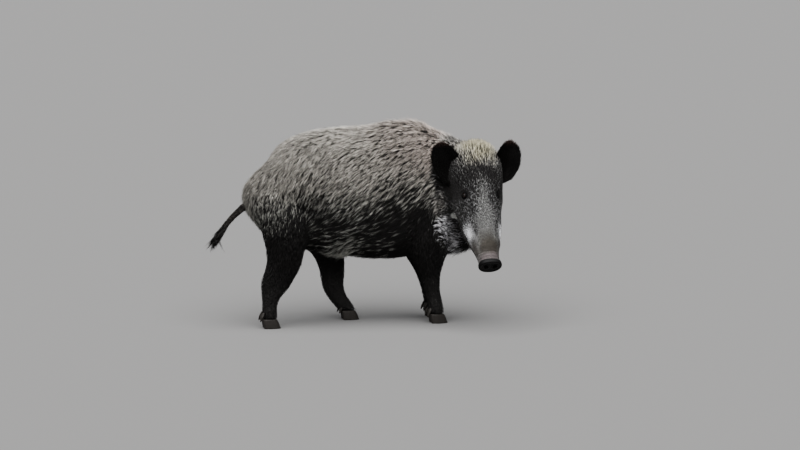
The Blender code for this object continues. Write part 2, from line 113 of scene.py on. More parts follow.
heading, pitch = math.radians(HEAD_HEADING), math.radians(HEAD_PITCH)
ahead = np.array((math.cos(heading), math.sin(heading), 0.0))
TO_NOSE = ahead * math.cos(pitch) - np.array((0, 0, math.sin(pitch)))
TO_LEFT = np.array((-ahead[1], ahead[0], 0.0))
OUT_OF_BROW = np.cross(TO_NOSE, TO_LEFT)
HEAD_AXES = np.array((TO_NOSE, TO_LEFT, OUT_OF_BROW))


def middle(node):
    """The middle of a CAD node's box."""
    low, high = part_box(node)
    return np.array((low + high) / 2)


EYES = {side: middle(f"eye_{side}") for side in ("right", "left")}
POLL = (EYES["right"] + EYES["left"]) / 2 - TO_NOSE * EYE_ALONG - OUT_OF_BROW * EYE_OUT

# The backbone from the poll to the root of the tail, measured from the poll.
BACKBONE = np.array((
    (-0.004, -0.025, -0.060), (-0.016, 0.013, -0.112), (-0.044, 0.047, -0.127),
    (-0.086, 0.081, -0.115), (-0.144, 0.101, -0.097), (-0.224, 0.109, -0.089),
    (-0.374, 0.115, -0.106), (-0.564, 0.117, -0.101), (-0.709, 0.112, -0.111),
    (-0.806, 0.107, -0.126), (-0.856, 0.105, -0.122),
)) + POLL
BACKBONE_POINTS = 160
BACKBONE_REACH = 0.075  # how much of the backbone sways the coat beside it
BLOCK = 20000  # points measured at once


def smooth_path(rows, count):
    """This many points on the Catmull-Rom curve through the rows, evenly spread over them."""
    rows = np.asarray(rows, float)
    padded = np.vstack((2 * rows[0] - rows[1], rows, 2 * rows[-1] - rows[-2]))
    spot = np.linspace(0, len(rows) - 1, count)
    base = np.minimum(spot.astype(int), len(rows) - 2)
    t = (spot - base)[:, None]
    a, b, c, d = (padded[base + k] for k in range(4))
    return 0.5 * (2 * b + (c - a) * t + (2 * a - 5 * b + 4 * c - d) * t**2
                  + (3 * b - a - 3 * c + d) * t**3)


def evenly(path, count):
    """This many points of the path at equal steps along it."""
    steps = np.append(0, np.cumsum(np.linalg.norm(np.diff(path, axis=0), axis=1)))
    marks = np.linspace(0, steps[-1], count)
    return np.column_stack([np.interp(marks, steps, path[:, axis]) for axis in range(path.shape[1])])


backbone = evenly(smooth_path(BACKBONE, 4 * BACKBONE_POINTS), BACKBONE_POINTS)
backbone_way = np.gradient(backbone, axis=0)
backbone_way /= np.linalg.norm(backbone_way, axis=1)[:, None]


def unit(vectors):
    """The vectors at length one."""
    return vectors / np.maximum(np.linalg.norm(vectors, axis=-1, keepdims=True), 1e-9)


def ramp(value, low, high):
    """0 below low, 1 above high, and the smooth step 3t^2 - 2t^3 between them."""
    t = np.clip((np.asarray(value) - low) / (high - low), 0, 1)
    return t * t * (3 - 2 * t)


def bump(value, centre, reach):
    """The bell exp(-(distance / reach)^2)."""
    return np.exp(-(((np.asarray(value) - centre) / reach) ** 2))


def laid(vectors, normals):
    """The vectors without their part along these normals, at length one."""
    return unit(vectors - normals * (vectors * normals).sum(1, keepdims=True))


def body_place(points):
    """How far along the backbone (0 poll, 1 tail), the way of the backbone there, and the rise from it.

    Way and rise are means over the backbone with the weight exp(-gap^2 / 2 reach^2). The rise is the
    cosine of the angle round the backbone: 1 on the back, 0 on the flank, -1 on the belly.
    """
    nearest, way, centre = np.empty(len(points), int), np.empty_like(points), np.empty_like(points)
    for start in range(0, len(points), BLOCK):
        block = slice(start, start + BLOCK)
        gaps = ((points[block, None, :] - backbone[None, :, :]) ** 2).sum(-1)
        nearest[block] = gaps.argmin(1)
        weight = np.exp((gaps.min(1, keepdims=True) - gaps) / (2 * BACKBONE_REACH**2))
        weight /= weight.sum(1, keepdims=True)
        way[block], centre[block] = weight @ backbone_way, weight @ backbone
    way = unit(way)
    return nearest / (BACKBONE_POINTS - 1), way, laid(points - centre, way)[:, 2]


def head_place(points):
    """Along the head from the poll to the nose, to its left, and out of its brow."""
    return (points - POLL) @ HEAD_AXES.T


FORE_LEGS = ["fore_leg_right", "fore_leg_left"]
HIND_LEGS = ["hind_leg_right", "hind_leg_left"]
LEG_NODES = [f"{leg}_{part}" for leg in FORE_LEGS + HIND_LEGS for part in ("upper", "lower")]
FLESH = ["trunk", "neck", "head", "lower_jaw"] + LEG_NODES

BODY_KIND, HEAD_KIND, LEG_KIND = range(3)


def tree_of(places):
    """A search tree over these places."""
    tree = KDTree(len(places))
    for index, place in enumerate(places):
        tree.insert(place, index)
    tree.balance()
    return tree


landmarks, landmark_kind = [], []
for node in FLESH:
    spots = np.array([tuple(v.co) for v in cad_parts[node].data.vertices])
    landmarks.append(spots)
    kind = HEAD_KIND if node in ("head", "lower_jaw") else LEG_KIND if node in LEG_NODES else BODY_KIND
    landmark_kind.append(np.full(len(spots), kind))
landmark_tree, landmark_kind = tree_of(np.vstack(landmarks)), np.concatenate(landmark_kind)


def links(faces, count):
    """Each edge of these triangles once, as pairs of points."""
    pairs = np.vstack((faces[:, :2], faces[:, 1:], faces[:, ::2])).astype(np.int64)
    pairs.sort(axis=1)
    keys = np.unique(pairs[:, 0] * count + pairs[:, 1])
    return np.column_stack((keys // count, keys % count))


def eased(values, edges, rounds, share=0.5):
    """The values, each moved by this share towards the mean of its neighbours, this many times."""
    values = np.asarray(values, float)
    flat = values.reshape(len(values), -1).copy()
    ends = np.concatenate((edges[:, 0], edges[:, 1]))
    others = np.concatenate((edges[:, 1], edges[:, 0]))
    count = np.maximum(np.bincount(ends, minlength=len(flat)), 1)
    for _ in range(rounds):
        for column in range(flat.shape[1]):
            mean = np.bincount(ends, flat[others, column], len(flat)) / count
            flat[:, column] += (mean - flat[:, column]) * share
    return flat.reshape(values.shape)


def face_normals(points, faces):
    """Each triangle's normal, (b - a) x (c - a), which is twice as long as its area."""
    return np.cross(points[faces[:, 1]] - points[faces[:, 0]], points[faces[:, 2]] - points[faces[:, 0]])


def point_normals(points, faces):
    """At each point, the mean of the normals of its faces, weighed by their areas."""
    cross = face_normals(points, faces)
    total = np.empty_like(points)
    for axis in range(3):
        total[:, axis] = sum(np.bincount(faces[:, k], cross[:, axis], len(points)) for k in range(3))
    return unit(total)


def eye_gap(points):
    """How far the nearer eye is."""
    return np.min([np.linalg.norm(points - eye, axis=1) for eye in EYES.values()], axis=0)


ALONG_ROUNDS, WAY_ROUNDS, HEAD_ROUNDS, LEG_ROUNDS = 40, 60, 60, 24  # how far each measure is eased
# The ways and starts of four sines, whose mean makes the edges of the markings uneven.
WAVES = (((61.0, 23.0, 47.0), 0.0), ((-38.0, 71.0, 92.0), 1.3),
         ((143.0, -96.0, 58.0), 2.1), ((87.0, 120.0, -150.0), 0.0))


def survey(points, edges):
    """All the measures of these points, as named columns."""
    kind = landmark_kind[[landmark_tree.find(spot)[1] for spot in points]]
    along, way, rise = body_place(points)
    head = head_place(points)
    along, way = eased(along, edges, ALONG_ROUNDS), unit(eased(way, edges, WAY_ROUNDS))
    head_share = eased(kind == HEAD_KIND, edges, HEAD_ROUNDS)
    leg_share = eased(kind == LEG_KIND, edges, LEG_ROUNDS)
    wave = sum(np.sin(points @ np.array(line) + start) for line, start in WAVES) / len(WAVES)
    return dict(along=along, way=way, rise=rise, nose=head[:, 0], left=head[:, 1], brow=head[:, 2],
                head=head_share, leg=leg_share, height=points[:, 2], eye=eye_gap(points), wave=wave)


LIP_LEVEL, LIP_SLOPE = -0.046, 0.07  # the line where the lips meet: out of the brow, and its rise
LIP_FROM, LIP_TO = 0.222, 0.418  # along the head


def mouth_share(nose, brow, above, reach):
    """How near a place is, within this reach, to the line this far above the meeting of the lips."""
    beside = ramp(nose, LIP_FROM - 0.012, LIP_FROM + 0.012) * (1 - ramp(nose, LIP_TO, LIP_TO + 0.012))
    return beside * bump(brow - (LIP_LEVEL + LIP_SLOPE * nose), above, reach)


def ruff_share(at):
    """How much a place is of the long pale hair behind the jaw, on the front of the shoulder."""
    side, brow = np.abs(at["left"]), at["brow"]
    ruff = ramp(side + 0.85 * (at["nose"] - 0.19), 0.044, 0.068) * (1 - ramp(side, 0.120, 0.170))
    ruff = ruff * ramp(at["height"] - 0.45 * side, 0.235, 0.270) * ramp(-at["height"], -0.46, -0.40)
    slant = at["nose"] + 0.65 * side
    return ruff * ramp(-slant, -0.348, -0.308) * ramp(-brow, 0.07, 0.11) * ramp(brow, -0.25, -0.21)


def cheek_share(at):
    """How much a place is of the small pale tuft at the back of the cheek."""
    spot = bump(at["nose"], 0.182, 0.014) * bump(np.abs(at["left"]), 0.072, 0.015)
    return spot * bump(at["brow"], -0.082, 0.016)


def fold_share(at):
    """How much a place is of the long hair that hangs from the fold in front of the thigh."""
    fold = bump(at["along"], 0.58, 0.045) * bump(at["height"], 0.290, 0.050)
    return fold * (1 - ramp(at["leg"], 0.25, 0.75))


def poll_share(at):
    """How much a place is of the top of the head between and behind the ears."""
    poll = ramp(at["nose"], -0.105, -0.045) * (1 - ramp(at["nose"], 0.04, 0.09))
    return poll * ramp(at["brow"], -0.05, 0.01) * (1 - ramp(np.abs(at["left"]), 0.055, 0.100))


def coat_at(at):
    """The coat's length, tuft width, rise off the skin at root and tip in degrees, locks in each square
    centimetre and tufts in each lock, from a point's measures: patches blend over the body's plain coat."""
    along, rise, nose, leg = at["along"], at["rise"], at["nose"], at["leg"]
    side = np.abs(at["left"])
    crest = ramp(rise, 0.72, 0.97) * (1 - ramp(along, 0.50, 0.85)) * (1 - ramp(nose, -0.06, 0.02))
    belly = ramp(-rise, 0.55, 0.9) * (1 - at["head"]) * (1 - leg)
    shin = leg * (1 - ramp(at["height"], 0.13, 0.30))
    thigh = leg * ramp(at["height"], 0.13, 0.30)
    face = ramp(at["head"], 0.12, 0.85)
    muzzle = face * ramp(nose, 0.20, 0.30)
    snout = face * ramp(nose, 0.33, 0.40)
    nape = ramp(rise, 0.35, 0.80) * bump(along, 0.10, 0.11) * (1 - ramp(nose, -0.05, 0.01))
    crown = bump(nose, 0.010, 0.060) * ramp(at["brow"], 0.030, 0.085) * (1 - ramp(side, 0.06, 0.10))
    lids = 1 - ramp(at["eye"], 0.016, 0.040)
    patches = (  # share, length, width, root rise, tip rise, locks, tufts
        (1.0, 0.046, 0.0012, 28, 6, 3.2, 7.4),
        (belly, 0.046, 0.0017, 31, 12, 2.0, 8.0),
        (crest, 0.056, 0.0015, 35, 16, 3.0, 7.0),
        (thigh, 0.026, 0.0019, 30, 8, 1.8, 7),
        (shin, 0.012, 0.0014, 26, 8, 5.0, 3),
        (face, 0.015, 0.0012, 30, 9, 8.0, 3),
        (muzzle, 0.009, 0.0010, 26, 8, 12.0, 3),
        (snout, 0.0050, 0.0008, 24, 8, 12.0, 3),
        (crown, 0.032, 0.0016, 46, 29, 3.8, 7),
        (nape, 0.040, 0.0016, 44, 27, 3.4, 8),
        (poll_share(at) * (1 - ramp(nose, -0.01, 0.03)), 0.034, 0.0016, 36, 18, 4.2, 7),
        (fold_share(at), 0.062, 0.0019, 34, 20, 2.2, 7),
        (ruff_share(at), 0.048, 0.0017, 36, 18, 2.8, 8),
        (cheek_share(at), 0.024, 0.0014, 55, 40, 8.0, 6),
        (lids, 0.0055, 0.0008, 20, 5, 12.0, 3),
    )
    values = np.zeros((len(side), 6))
    for share, *numbers in patches:
        share = np.broadcast_to(share, len(side))[:, None]
        values += (np.array(numbers) - values) * share
    return values


BEND = 0.4  # a tuft bends at this share of its length
DEPTH_SPARE = 0.0012


def coat_depth(at):
    """How far the tips stand off the skin: length x (bend x sin root rise + (1 - bend) x sin tip rise), and
    a little to spare."""
    length, _, root, tip, *_ = coat_at(at).T
    return length * (BEND * np.sin(np.radians(root)) + (1 - BEND) * np.sin(np.radians(tip))) + DEPTH_SPARE


def lie_at(at, normals):
    """The way the coat lies, along the skin: back and down over the body, down the legs, up the face and
    over the poll, down and forwards on the jowls, and back round the side in the ruff."""
    down = np.array((0.0, 0.0, -1.0))
    along = at["along"]
    belly = ramp(-at["rise"], 0.35, 0.80) * (1 - ramp(along, 0.78, 0.93)) * ramp(along, 0.14, 0.26)
    steep = np.radians((38 + 32 * ramp(along, 0.55, 0.92)) * (1 - 0.80 * belly))[:, None]
    body = at["way"] * np.cos(steep) + down * np.sin(steep)
    leg = down + at["way"] * 0.18
    way = body + (leg - body) * ramp(at["leg"], 0.35, 0.95)[:, None]
    side = np.sign(at["left"])[:, None] * ramp(np.abs(at["left"]), 0.0, 0.09)[:, None]
    over_poll = ramp(-at["nose"], -0.100, -0.015)[:, None]
    over = np.cross(normals, TO_LEFT) - TO_NOSE * np.abs(normals @ TO_LEFT)[:, None]
    face = -TO_NOSE + (over + TO_NOSE) * over_poll + TO_LEFT * side * 0.35
    jowl = ramp(-at["brow"], 0.02, 0.10)[:, None]
    face = face + (-OUT_OF_BROW * 1.1 + TO_NOSE * 0.55 + TO_LEFT * side * 0.8) * jowl
    way = way + (face - way) * ramp(at["head"], 0.10, 0.80)[:, None]
    way = way + (over - way) * poll_share(at)[:, None]
    turned_side = ramp(-at["left"], 0.0, 0.05)[:, None]
    combed = at["way"] + (-TO_LEFT - at["way"]) * turned_side - down * 0.35
    way = way + (combed - way) * ramp(ruff_share(at), 0.05, 0.40)[:, None]
    way = way + (down * 0.9 + at["way"] * 0.2 - way) * fold_share(at)[:, None]
    return laid(way, normals)


# ---------------------------------------------------------------------------
# The skin: one hide over the whole body, laid inside the solids by the coat's
# depth, drawn up to the eyes, lips and nose, with no seam between its parts.
# ---------------------------------------------------------------------------
SKIN_GRAIN = 0.0066  # the size of its faces, halved on the head and again by the eyes and nose
OVERLAP = 0.0007  # so that neighbouring solids meet over their cuts
WELD = 0.00001  # points nearer than this are one
FAIR_ROUNDS, FAIR_IN, FAIR_OUT = 6, 0.55, -0.57  # easing in and out by turns, which keeps the size
DEPTH_ROUNDS, SETTLE_STEPS, SETTLE_EASE = 6, 5, 0.30  # how it is laid inwards by the coat's depth
FACE_ROUNDS = 4  # how far the finer faces of the head are eased
EYE_ZONE = 0.034  # how far the finest faces reach round an eye


def put_points(mesh, points):
    """Moves the mesh's points to these places."""
    mesh.vertices.foreach_set("co", np.asarray(points, np.float32).ravel())


def mesh_object(name, points, faces):
    """A mesh object from points and triangles, at the origin."""
    mesh = bpy.data.meshes.new(name)
    mesh.vertices.add(len(points))
    put_points(mesh, points)
    mesh.loops.add(len(faces) * 3)
    mesh.loops.foreach_set("vertex_index", np.asarray(faces, np.int32).ravel())
    mesh.polygons.add(len(faces))
    mesh.polygons.foreach_set("loop_start", np.arange(0, len(faces) * 3, 3, dtype=np.int32))
    mesh.update(calc_edges=True)
    obj = bpy.data.objects.new(name, mesh)
    bpy.context.scene.collection.objects.link(obj)
    return obj


def mesh_arrays(mesh):
    """A mesh's points, and its faces as triangles."""
    points = np.empty(len(mesh.vertices) * 3, np.float32)
    mesh.vertices.foreach_get("co", points)
    mesh.calc_loop_triangles()
    faces = np.empty(len(mesh.loop_triangles) * 3, np.int32)
    mesh.loop_triangles.foreach_get("vertices", faces)
    return points.reshape(-1, 3).astype(float), faces.reshape(-1, 3)


def dress(obj, material):
    """Gives the whole mesh this one material and smooth shading."""
    obj.data.polygons.foreach_set("use_smooth", np.ones(len(obj.data.polygons), bool))
    obj.data.materials.clear()
    obj.data.materials.append(material)


def modified(obj, kind, **settings):
    """Applies this modifier to the object."""
    modifier = obj.modifiers.new(kind.lower(), kind)
    for name, value in settings.items():
        setattr(modifier, name, value)
    graph = bpy.context.evaluated_depsgraph_get()
    mesh = bpy.data.meshes.new_from_object(obj.evaluated_get(graph))
    obj.modifiers.clear()
    obj.data = mesh


flesh = bmesh.new()
for node in FLESH:
    part = bmesh.new()
    part.from_mesh(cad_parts[node].data)
    bmesh.ops.remove_doubles(part, verts=part.verts[:], dist=WELD)
    part.normal_update()
    for vert in part.verts:
        vert.co += vert.normal * OVERLAP
    grown = bpy.data.meshes.new(node)
    part.to_mesh(grown)
    part.free()
    flesh.from_mesh(grown)
    bpy.data.meshes.remove(grown)
form_mesh = bpy.data.meshes.new("skin")
flesh.to_mesh(form_mesh)
flesh.free()
skin = bpy.data.objects.new("skin", form_mesh)
bpy.context.scene.collection.objects.link(skin)
modified(skin, "REMESH", mode="VOXEL", voxel_size=SKIN_GRAIN)

points, faces = mesh_arrays(skin.data)
edges = links(faces, len(points))
for _ in range(FAIR_ROUNDS):
    points = eased(points, edges, 1, FAIR_IN)
    points = eased(points, edges, 1, FAIR_OUT)
at = survey(points, edges)
depth = eased(coat_depth(at), edges, DEPTH_ROUNDS)
for _ in range(SETTLE_STEPS):
    points = points - point_normals(points, faces) * (depth / SETTLE_STEPS)[:, None]
    points = eased(points, edges, 1, SETTLE_EASE)
put_points(skin.data, points)


def refine(obj, wanted):
    """Every edge that joins two wanted points is split in two."""
    work = bmesh.new()
    work.from_mesh(obj.data)
    chosen = [edge for edge in work.edges if wanted[edge.verts[0].index] and wanted[edge.verts[1].index]]
    bmesh.ops.subdivide_edges(work, edges=chosen, cuts=1, use_grid_fill=True)
    bmesh.ops.triangulate(work, faces=work.faces[:])
    work.to_mesh(obj.data)
    work.free()


nose, left, brow = head_place(points).T
refine(skin, (nose > 0.02) & (np.abs(left) < 0.12) & (brow > -0.12) & (at["head"] > 0.3))
points, faces = mesh_arrays(skin.data)
nose, left, brow = head_place(points).T
refine(skin, (eye_gap(points) < EYE_ZONE) | ((nose > 0.375) & (np.abs(left) < 0.06)))

points, faces = mesh_arrays(skin.data)
edges = links(faces, len(points))
nose, left, brow = head_place(points).T
on_face = eased((nose > 0.03) & (np.abs(left) < 0.115), edges, FACE_ROUNDS)
points += (eased(points, edges, FACE_ROUNDS) - points) * on_face[:, None]

SIDES = (("right", -1), ("left", 1))  # which way each lies from the middle of the head
EYEBALL = 0.0117  # its radius
EYE_SINK = 0.0016  # how far the eyeball lies behind the middle of its solid
LID, LID_REACH = 0.0013, 0.030  # its thickness, and how far the lids reach round the gaze
LID_GROOVE, LID_POUCH, LID_RIM = 0.0022, 0.0010, 0.0005
SLIT_LENGTH, SLIT_HEIGHT = 0.0172, 0.0100
BEHIND = 0.0032  # how far the skin passes behind the eyeball's front


def gaze(side):
    """The way an eye looks, the line of its slit towards the nose, and the line across the slit."""
    way = unit(TO_NOSE * 0.10 + TO_LEFT * side * 0.76 + OUT_OF_BROW * 0.62)
    slit = TO_NOSE * 0.97 - TO_LEFT * side * 0.10 + OUT_OF_BROW * 0.10
    slit = unit(slit - way * (slit @ way))
    return way, slit, np.cross(way, slit)


def draw_lids(points, eye, side):
    """The skin round one eyeball: outside the almond slit it lies a lid's thickness over the ball, wherever
    that stands out of the face, and inside the slit it drops behind the ball."""
    way, slit, across = gaze(side)
    centre = eye - way * EYE_SINK
    arm = points - centre
    x, y, z = arm @ slit, arm @ across, arm @ way
    reach = np.hypot(x, y)
    near = (reach < LID_REACH) & (z > -0.010) & (np.linalg.norm(arm, axis=1) < EYE_ZONE)
    over = np.sqrt(np.maximum((EYEBALL + LID) ** 2 - reach**2, 0))
    lidded = z + (over - z) * ramp(over - z, -0.0012, 0.0012)
    lidded = lidded - LID_GROOVE * bump(reach, 0.0152, 0.0028) + LID_POUCH * bump(reach, 0.0230, 0.004)
    half = SLIT_HEIGHT / 2 * (1 - (2 * x / SLIT_LENGTH) ** 2)
    gap = np.abs(y) - half
    open_eye = (gap < 0) & (np.abs(x) < SLIT_LENGTH / 2)
    ball = np.sqrt(np.maximum(EYEBALL**2 - reach**2, 0)) - BEHIND
    rim = LID_RIM * bump(gap, 0.0009, 0.0009) * (np.abs(x) < SLIT_LENGTH * 0.62)
    wanted = np.where(open_eye, ball, lidded + rim)
    return points + way * np.where(near, wanted - z, 0)[:, None]


# Folds and swellings of the face: along the head, to its side, out of its brow, their reach in
# each, and their height.
FACE_FORMS = (
    (0.135, 0.060, 0.066, 0.022, 0.020, 0.030, 0.0035),  # brow over the eye
    (0.170, 0.090, 0.000, 0.040, 0.030, 0.018, 0.0040),  # cheekbone
    (0.212, 0.058, 0.026, 0.026, 0.016, 0.018, -0.0040),  # hollow before the eye
    (0.300, 0.066, -0.004, 0.040, 0.030, 0.016, -0.0025),  # flute along the muzzle
    (0.345, 0.046, -0.014, 0.022, 0.020, 0.013, 0.0040),  # lip over the tusk
    (0.250, 0.000, 0.060, 0.100, 0.018, 0.030, 0.0020),  # bridge of the nose
    (0.230, 0.070, -0.070, 0.045, 0.040, 0.030, -0.0035),  # behind the lips
)
WRINKLE, WRINKLE_HEIGHT = 0.0105, 0.0012  # from one fold behind the nose disc to the next
LIP_HEIGHT, MOUTH_DEPTH = 0.0022, 0.0055  # how far the upper lip stands out, and the meeting sinks in
SNOUT_REACH = 0.0045  # how far the skin follows the nose disc forwards

for name, side in SIDES:
    points = draw_lids(points, EYES[name], side)
normals = point_normals(points, faces)
nose, left, brow = head_place(points).T
rise = np.zeros(len(points))
for along, out, up, reach_a, reach_s, reach_b, height in FACE_FORMS:
    rise += height * bump(nose, along, reach_a) * bump(np.abs(left), out, reach_s) * bump(brow, up, reach_b)
rise *= ramp(eye_gap(points), 0.012, 0.022)
rise += (LIP_HEIGHT * mouth_share(nose, brow, 0.0055, 0.005)
         - MOUTH_DEPTH * mouth_share(nose, brow, 0.0, 0.0030))
folds = ramp(nose, 0.382, 0.392) * ramp(brow, -0.022, 0.0)
rise += folds * WRINKLE_HEIGHT * np.sin((nose - 0.385) / WRINKLE * 2 * math.pi)
points += normals * (rise * ramp(nose, 0.04, 0.08))[:, None]
points += TO_NOSE * (SNOUT_REACH * ramp(nose, 0.408, 0.424))[:, None]
put_points(skin.data, points)
skin_points, skin_faces, skin_edges = points, faces, edges

# ---------------------------------------------------------------------------
# The ears: two cupped leaves of thin gristle under the same hide, standing up
# from the sides of the poll with their hollows forwards.
# ---------------------------------------------------------------------------
EAR_ROOT = (0.074, 0.108, 0.014)  # along the head, to its side, out of its brow
EAR_SINK = 0.022  # how far the ear's foot lies inside the head
EAR_LENGTH = {"right": 0.162, "left": 0.164}
EAR_WIDTH, EAR_CUP, EAR_GRISTLE = 0.110, 0.036, 0.0048  # across, how deep it is dished, how thick it is
EAR_LEAN, EAR_TURN = 5.0, 14.0  # degrees out to the side, and outwards from where the face looks
EAR_BROADEST = 0.44  # this share of its length up
EAR_ROWS, EAR_COLUMNS = 34, 25
EAR_TIP_ROWS = (0.962, 0.978, 0.989, 0.995, 0.999)  # the last rows, closer together


def loft(rows):
    """Triangles over rings of points, rows x sides x 3, with a point in the middle of each end."""
    count, sides, _ = rows.shape
    index = np.arange(count * sides).reshape(count, sides)
    a, b = index[:-1], np.roll(index[:-1], -1, axis=1)
    c, d = np.roll(index[1:], -1, axis=1), index[1:]
    faces = np.vstack((np.stack((a, b, c), -1).reshape(-1, 3), np.stack((a, c, d), -1).reshape(-1, 3)))
    points = np.vstack((rows.reshape(-1, 3), rows[0].mean(0), rows[-1].mean(0)))
    ring, end = index[0], index[-1]
    faces = np.vstack((
        faces,
        np.column_stack((np.full(sides, count * sides), np.roll(ring, -1), ring)),
        np.column_stack((np.full(sides, count * sides + 1), end, np.roll(end, -1))),
    ))
    return points, outward(points, faces)


def outward(points, faces):
    """The triangles turned, if need be, so that they enclose a positive volume."""
    a, b, c = (points[faces[:, k]] for k in range(3))
    return faces if (a * np.cross(b, c)).sum() > 0 else faces[:, ::-1]


def ear_axes(side):
    """The ear's own frame: its foot, the way its hollow faces, its width and its length."""
    foot = POLL + TO_NOSE * EAR_ROOT[0] + TO_LEFT * side * EAR_ROOT[1] + OUT_OF_BROW * EAR_ROOT[2]
    turn = math.radians(HEAD_HEADING + side * EAR_TURN)
    lean = math.radians(-side * EAR_LEAN)
    facing = np.array((math.cos(turn), math.sin(turn), 0.0))
    level = np.array((-math.sin(turn), math.cos(turn), 0.0))
    width = level * math.cos(lean) + np.array((0, 0, math.sin(lean)))
    length = -level * math.sin(lean) + np.array((0, 0, math.cos(lean)))
    return foot, facing, width, length


def ear_form(side, tall):
    """A leaf broadest below the middle, whose tip lies towards its outer edge, dished across by its cup
    times (across^2 - 1/2), with a thin rounded rim."""
    foot, facing, width, length = ear_axes(side)
    t = np.append(np.linspace(0.02, 0.94, EAR_ROWS - len(EAR_TIP_ROWS)), EAR_TIP_ROWS)[:, None]
    across = np.sin(np.linspace(-1, 1, EAR_COLUMNS) * math.pi / 2)[None, :]
    above = np.clip((t - EAR_BROADEST) / (1 - EAR_BROADEST), 0, 1)
    below = np.clip((EAR_BROADEST - t) / EAR_BROADEST, 0, 1)
    leaf = (1 - above**2.4) ** 0.60 * (1 - 0.50 * below**1.5) * (0.40 + 0.60 * ramp(t, -0.02, 0.13))
    half = EAR_WIDTH / 2 * leaf
    shift = side * EAR_WIDTH * (0.17 * ramp(t, 0.40, 1.0) - 0.03 - 0.15 * below)
    dish = EAR_CUP * leaf * (1.15 - 0.5 * t) * (across**2 - 0.5) - 0.010 * ramp(t, 0.6, 1.0)
    dish = dish + 0.0015 * np.sin(across * 7 + t * 5) * leaf
    thick = EAR_GRISTLE * (1.35 - 0.6 * t) * (1 - 0.72 * across**4) * (0.35 + 0.65 * leaf)
    rows = []
    for way, order in ((-1, slice(None)), (1, slice(None, None, -1))):
        place = (foot + facing * (dish + way * thick / 2)[..., None]
                 + width * (shift + across * half)[..., None]
                 + length * (t * tall - EAR_SINK + 0 * across)[..., None])
        rows.append(place[:, order])
    return loft(np.concatenate(rows, axis=1))


def joined_to_skin(points, faces, name):
    """The closed form united with the skin, so that they are one surface."""
    part = mesh_object(name, points, faces)
    modified(skin, "BOOLEAN", operation="UNION", solver="MANIFOLD", object=part)
    bpy.data.objects.remove(part)


ears = {}
for name, side in SIDES:
    ears[name] = ear_form(side, EAR_LENGTH[name])
    joined_to_skin(*ears[name], f"ear_{name}_form")

# ---------------------------------------------------------------------------
# The tail: a thin hanging rope of bone that ends in a brush of hair, grown out of
# the rump under the same hide.
# ---------------------------------------------------------------------------
TAIL = np.array((
    (-0.790, 0.106, -0.122, 0.0150), (-0.824, 0.108, -0.134, 0.0118), (-0.856, 0.109, -0.158, 0.0098),
    (-0.886, 0.111, -0.184, 0.0080), (-0.913, 0.113, -0.213, 0.0066), (-0.934, 0.114, -0.242, 0.0058),
    (-0.950, 0.114, -0.265, 0.0045),
)) + np.append(POLL, 0.0)
TAIL_ROWS, TAIL_SIDES = 40, 14


def tube(rows, count, sides):
    """A round tube along the smooth curve through rows of x, y, z and radius, with its path and its way."""
    path = smooth_path(rows, count)
    way = unit(np.gradient(path[:, :3], axis=0))
    across = unit(np.cross(way, (0.0, 1.0, 0.0)))
    over = np.cross(way, across)
    turn = np.linspace(0, 2 * math.pi, sides, endpoint=False)
    ring = across[:, None] * np.cos(turn)[None, :, None] + over[:, None] * np.sin(turn)[None, :, None]
    return path, way, loft(path[:, None, :3] + ring * path[:, None, 3:4])


tail_path, tail_way, tail_form = tube(TAIL, TAIL_ROWS, TAIL_SIDES)
joined_to_skin(*tail_form, "tail_form")

# ---------------------------------------------------------------------------
# The markings, worn by hide and hair alike: grizzled back, black legs, ears and underside, a fawn crown, a
# pale band down the nose and whitish cheeks, with painted light and shade among them. The coat pales on top
# and darkens below, a painted highlight lies on the bridge and a painted sheen on the upper flank, and
# painted shade lies under the ear, in its hollow, round the eyes, on the jaw and in the creases behind the
# nose disc.
# ---------------------------------------------------------------------------
GRIZZLE = (0.80, 0.75, 0.67)
OLIVE = (0.75, 0.75, 0.68)
RUSSET = (0.67, 0.575, 0.51)
# The ear's black for its hide and the hair in its hollow, darkened past the black of its back by painted
# shade.
EAR_BLACK_AND_SHADE = (0.0012, 0.0010, 0.0009)
# Dark round the eye, darkened further as painted shade of the brow.
EYE_RING_AND_SHADE = (0.0020, 0.0018, 0.0018)
BLACK = (0.0128, 0.0121, 0.0118)
HAIR_SHEEN = 0.04  # how strongly it mirrors
HAIR_ROUGHNESS = (0.5, 0.72)  # from one hair to another
CHOICE = (-0.08, 0.10)  # a hair turns pale as the share passes its own number by this much
DARK_ROOT = (0.40, 0.84)  # and goes from black to its marking between these shares of its length
FULL_SHARE = 1.6  # every hair wears its marking, from near the root on
# The first of these paints the sheen of the overhead light on the upper flank by the rump, with more pale
# hairs.
PAINTED_SHEEN_SHARE, JAW_SHARE, FOLD_SHARE, NAPE_SHARE = 0.14, 0.32, 0.60, 0.25  # more of the hairs are pale there
RUFF_PAINT, RUFF_SHARE = (0.62, 0.61, 0.63), 0.58
CHEEK_PAINT, CHEEK_SHARE = (0.86, 0.86, 0.82), 1.5
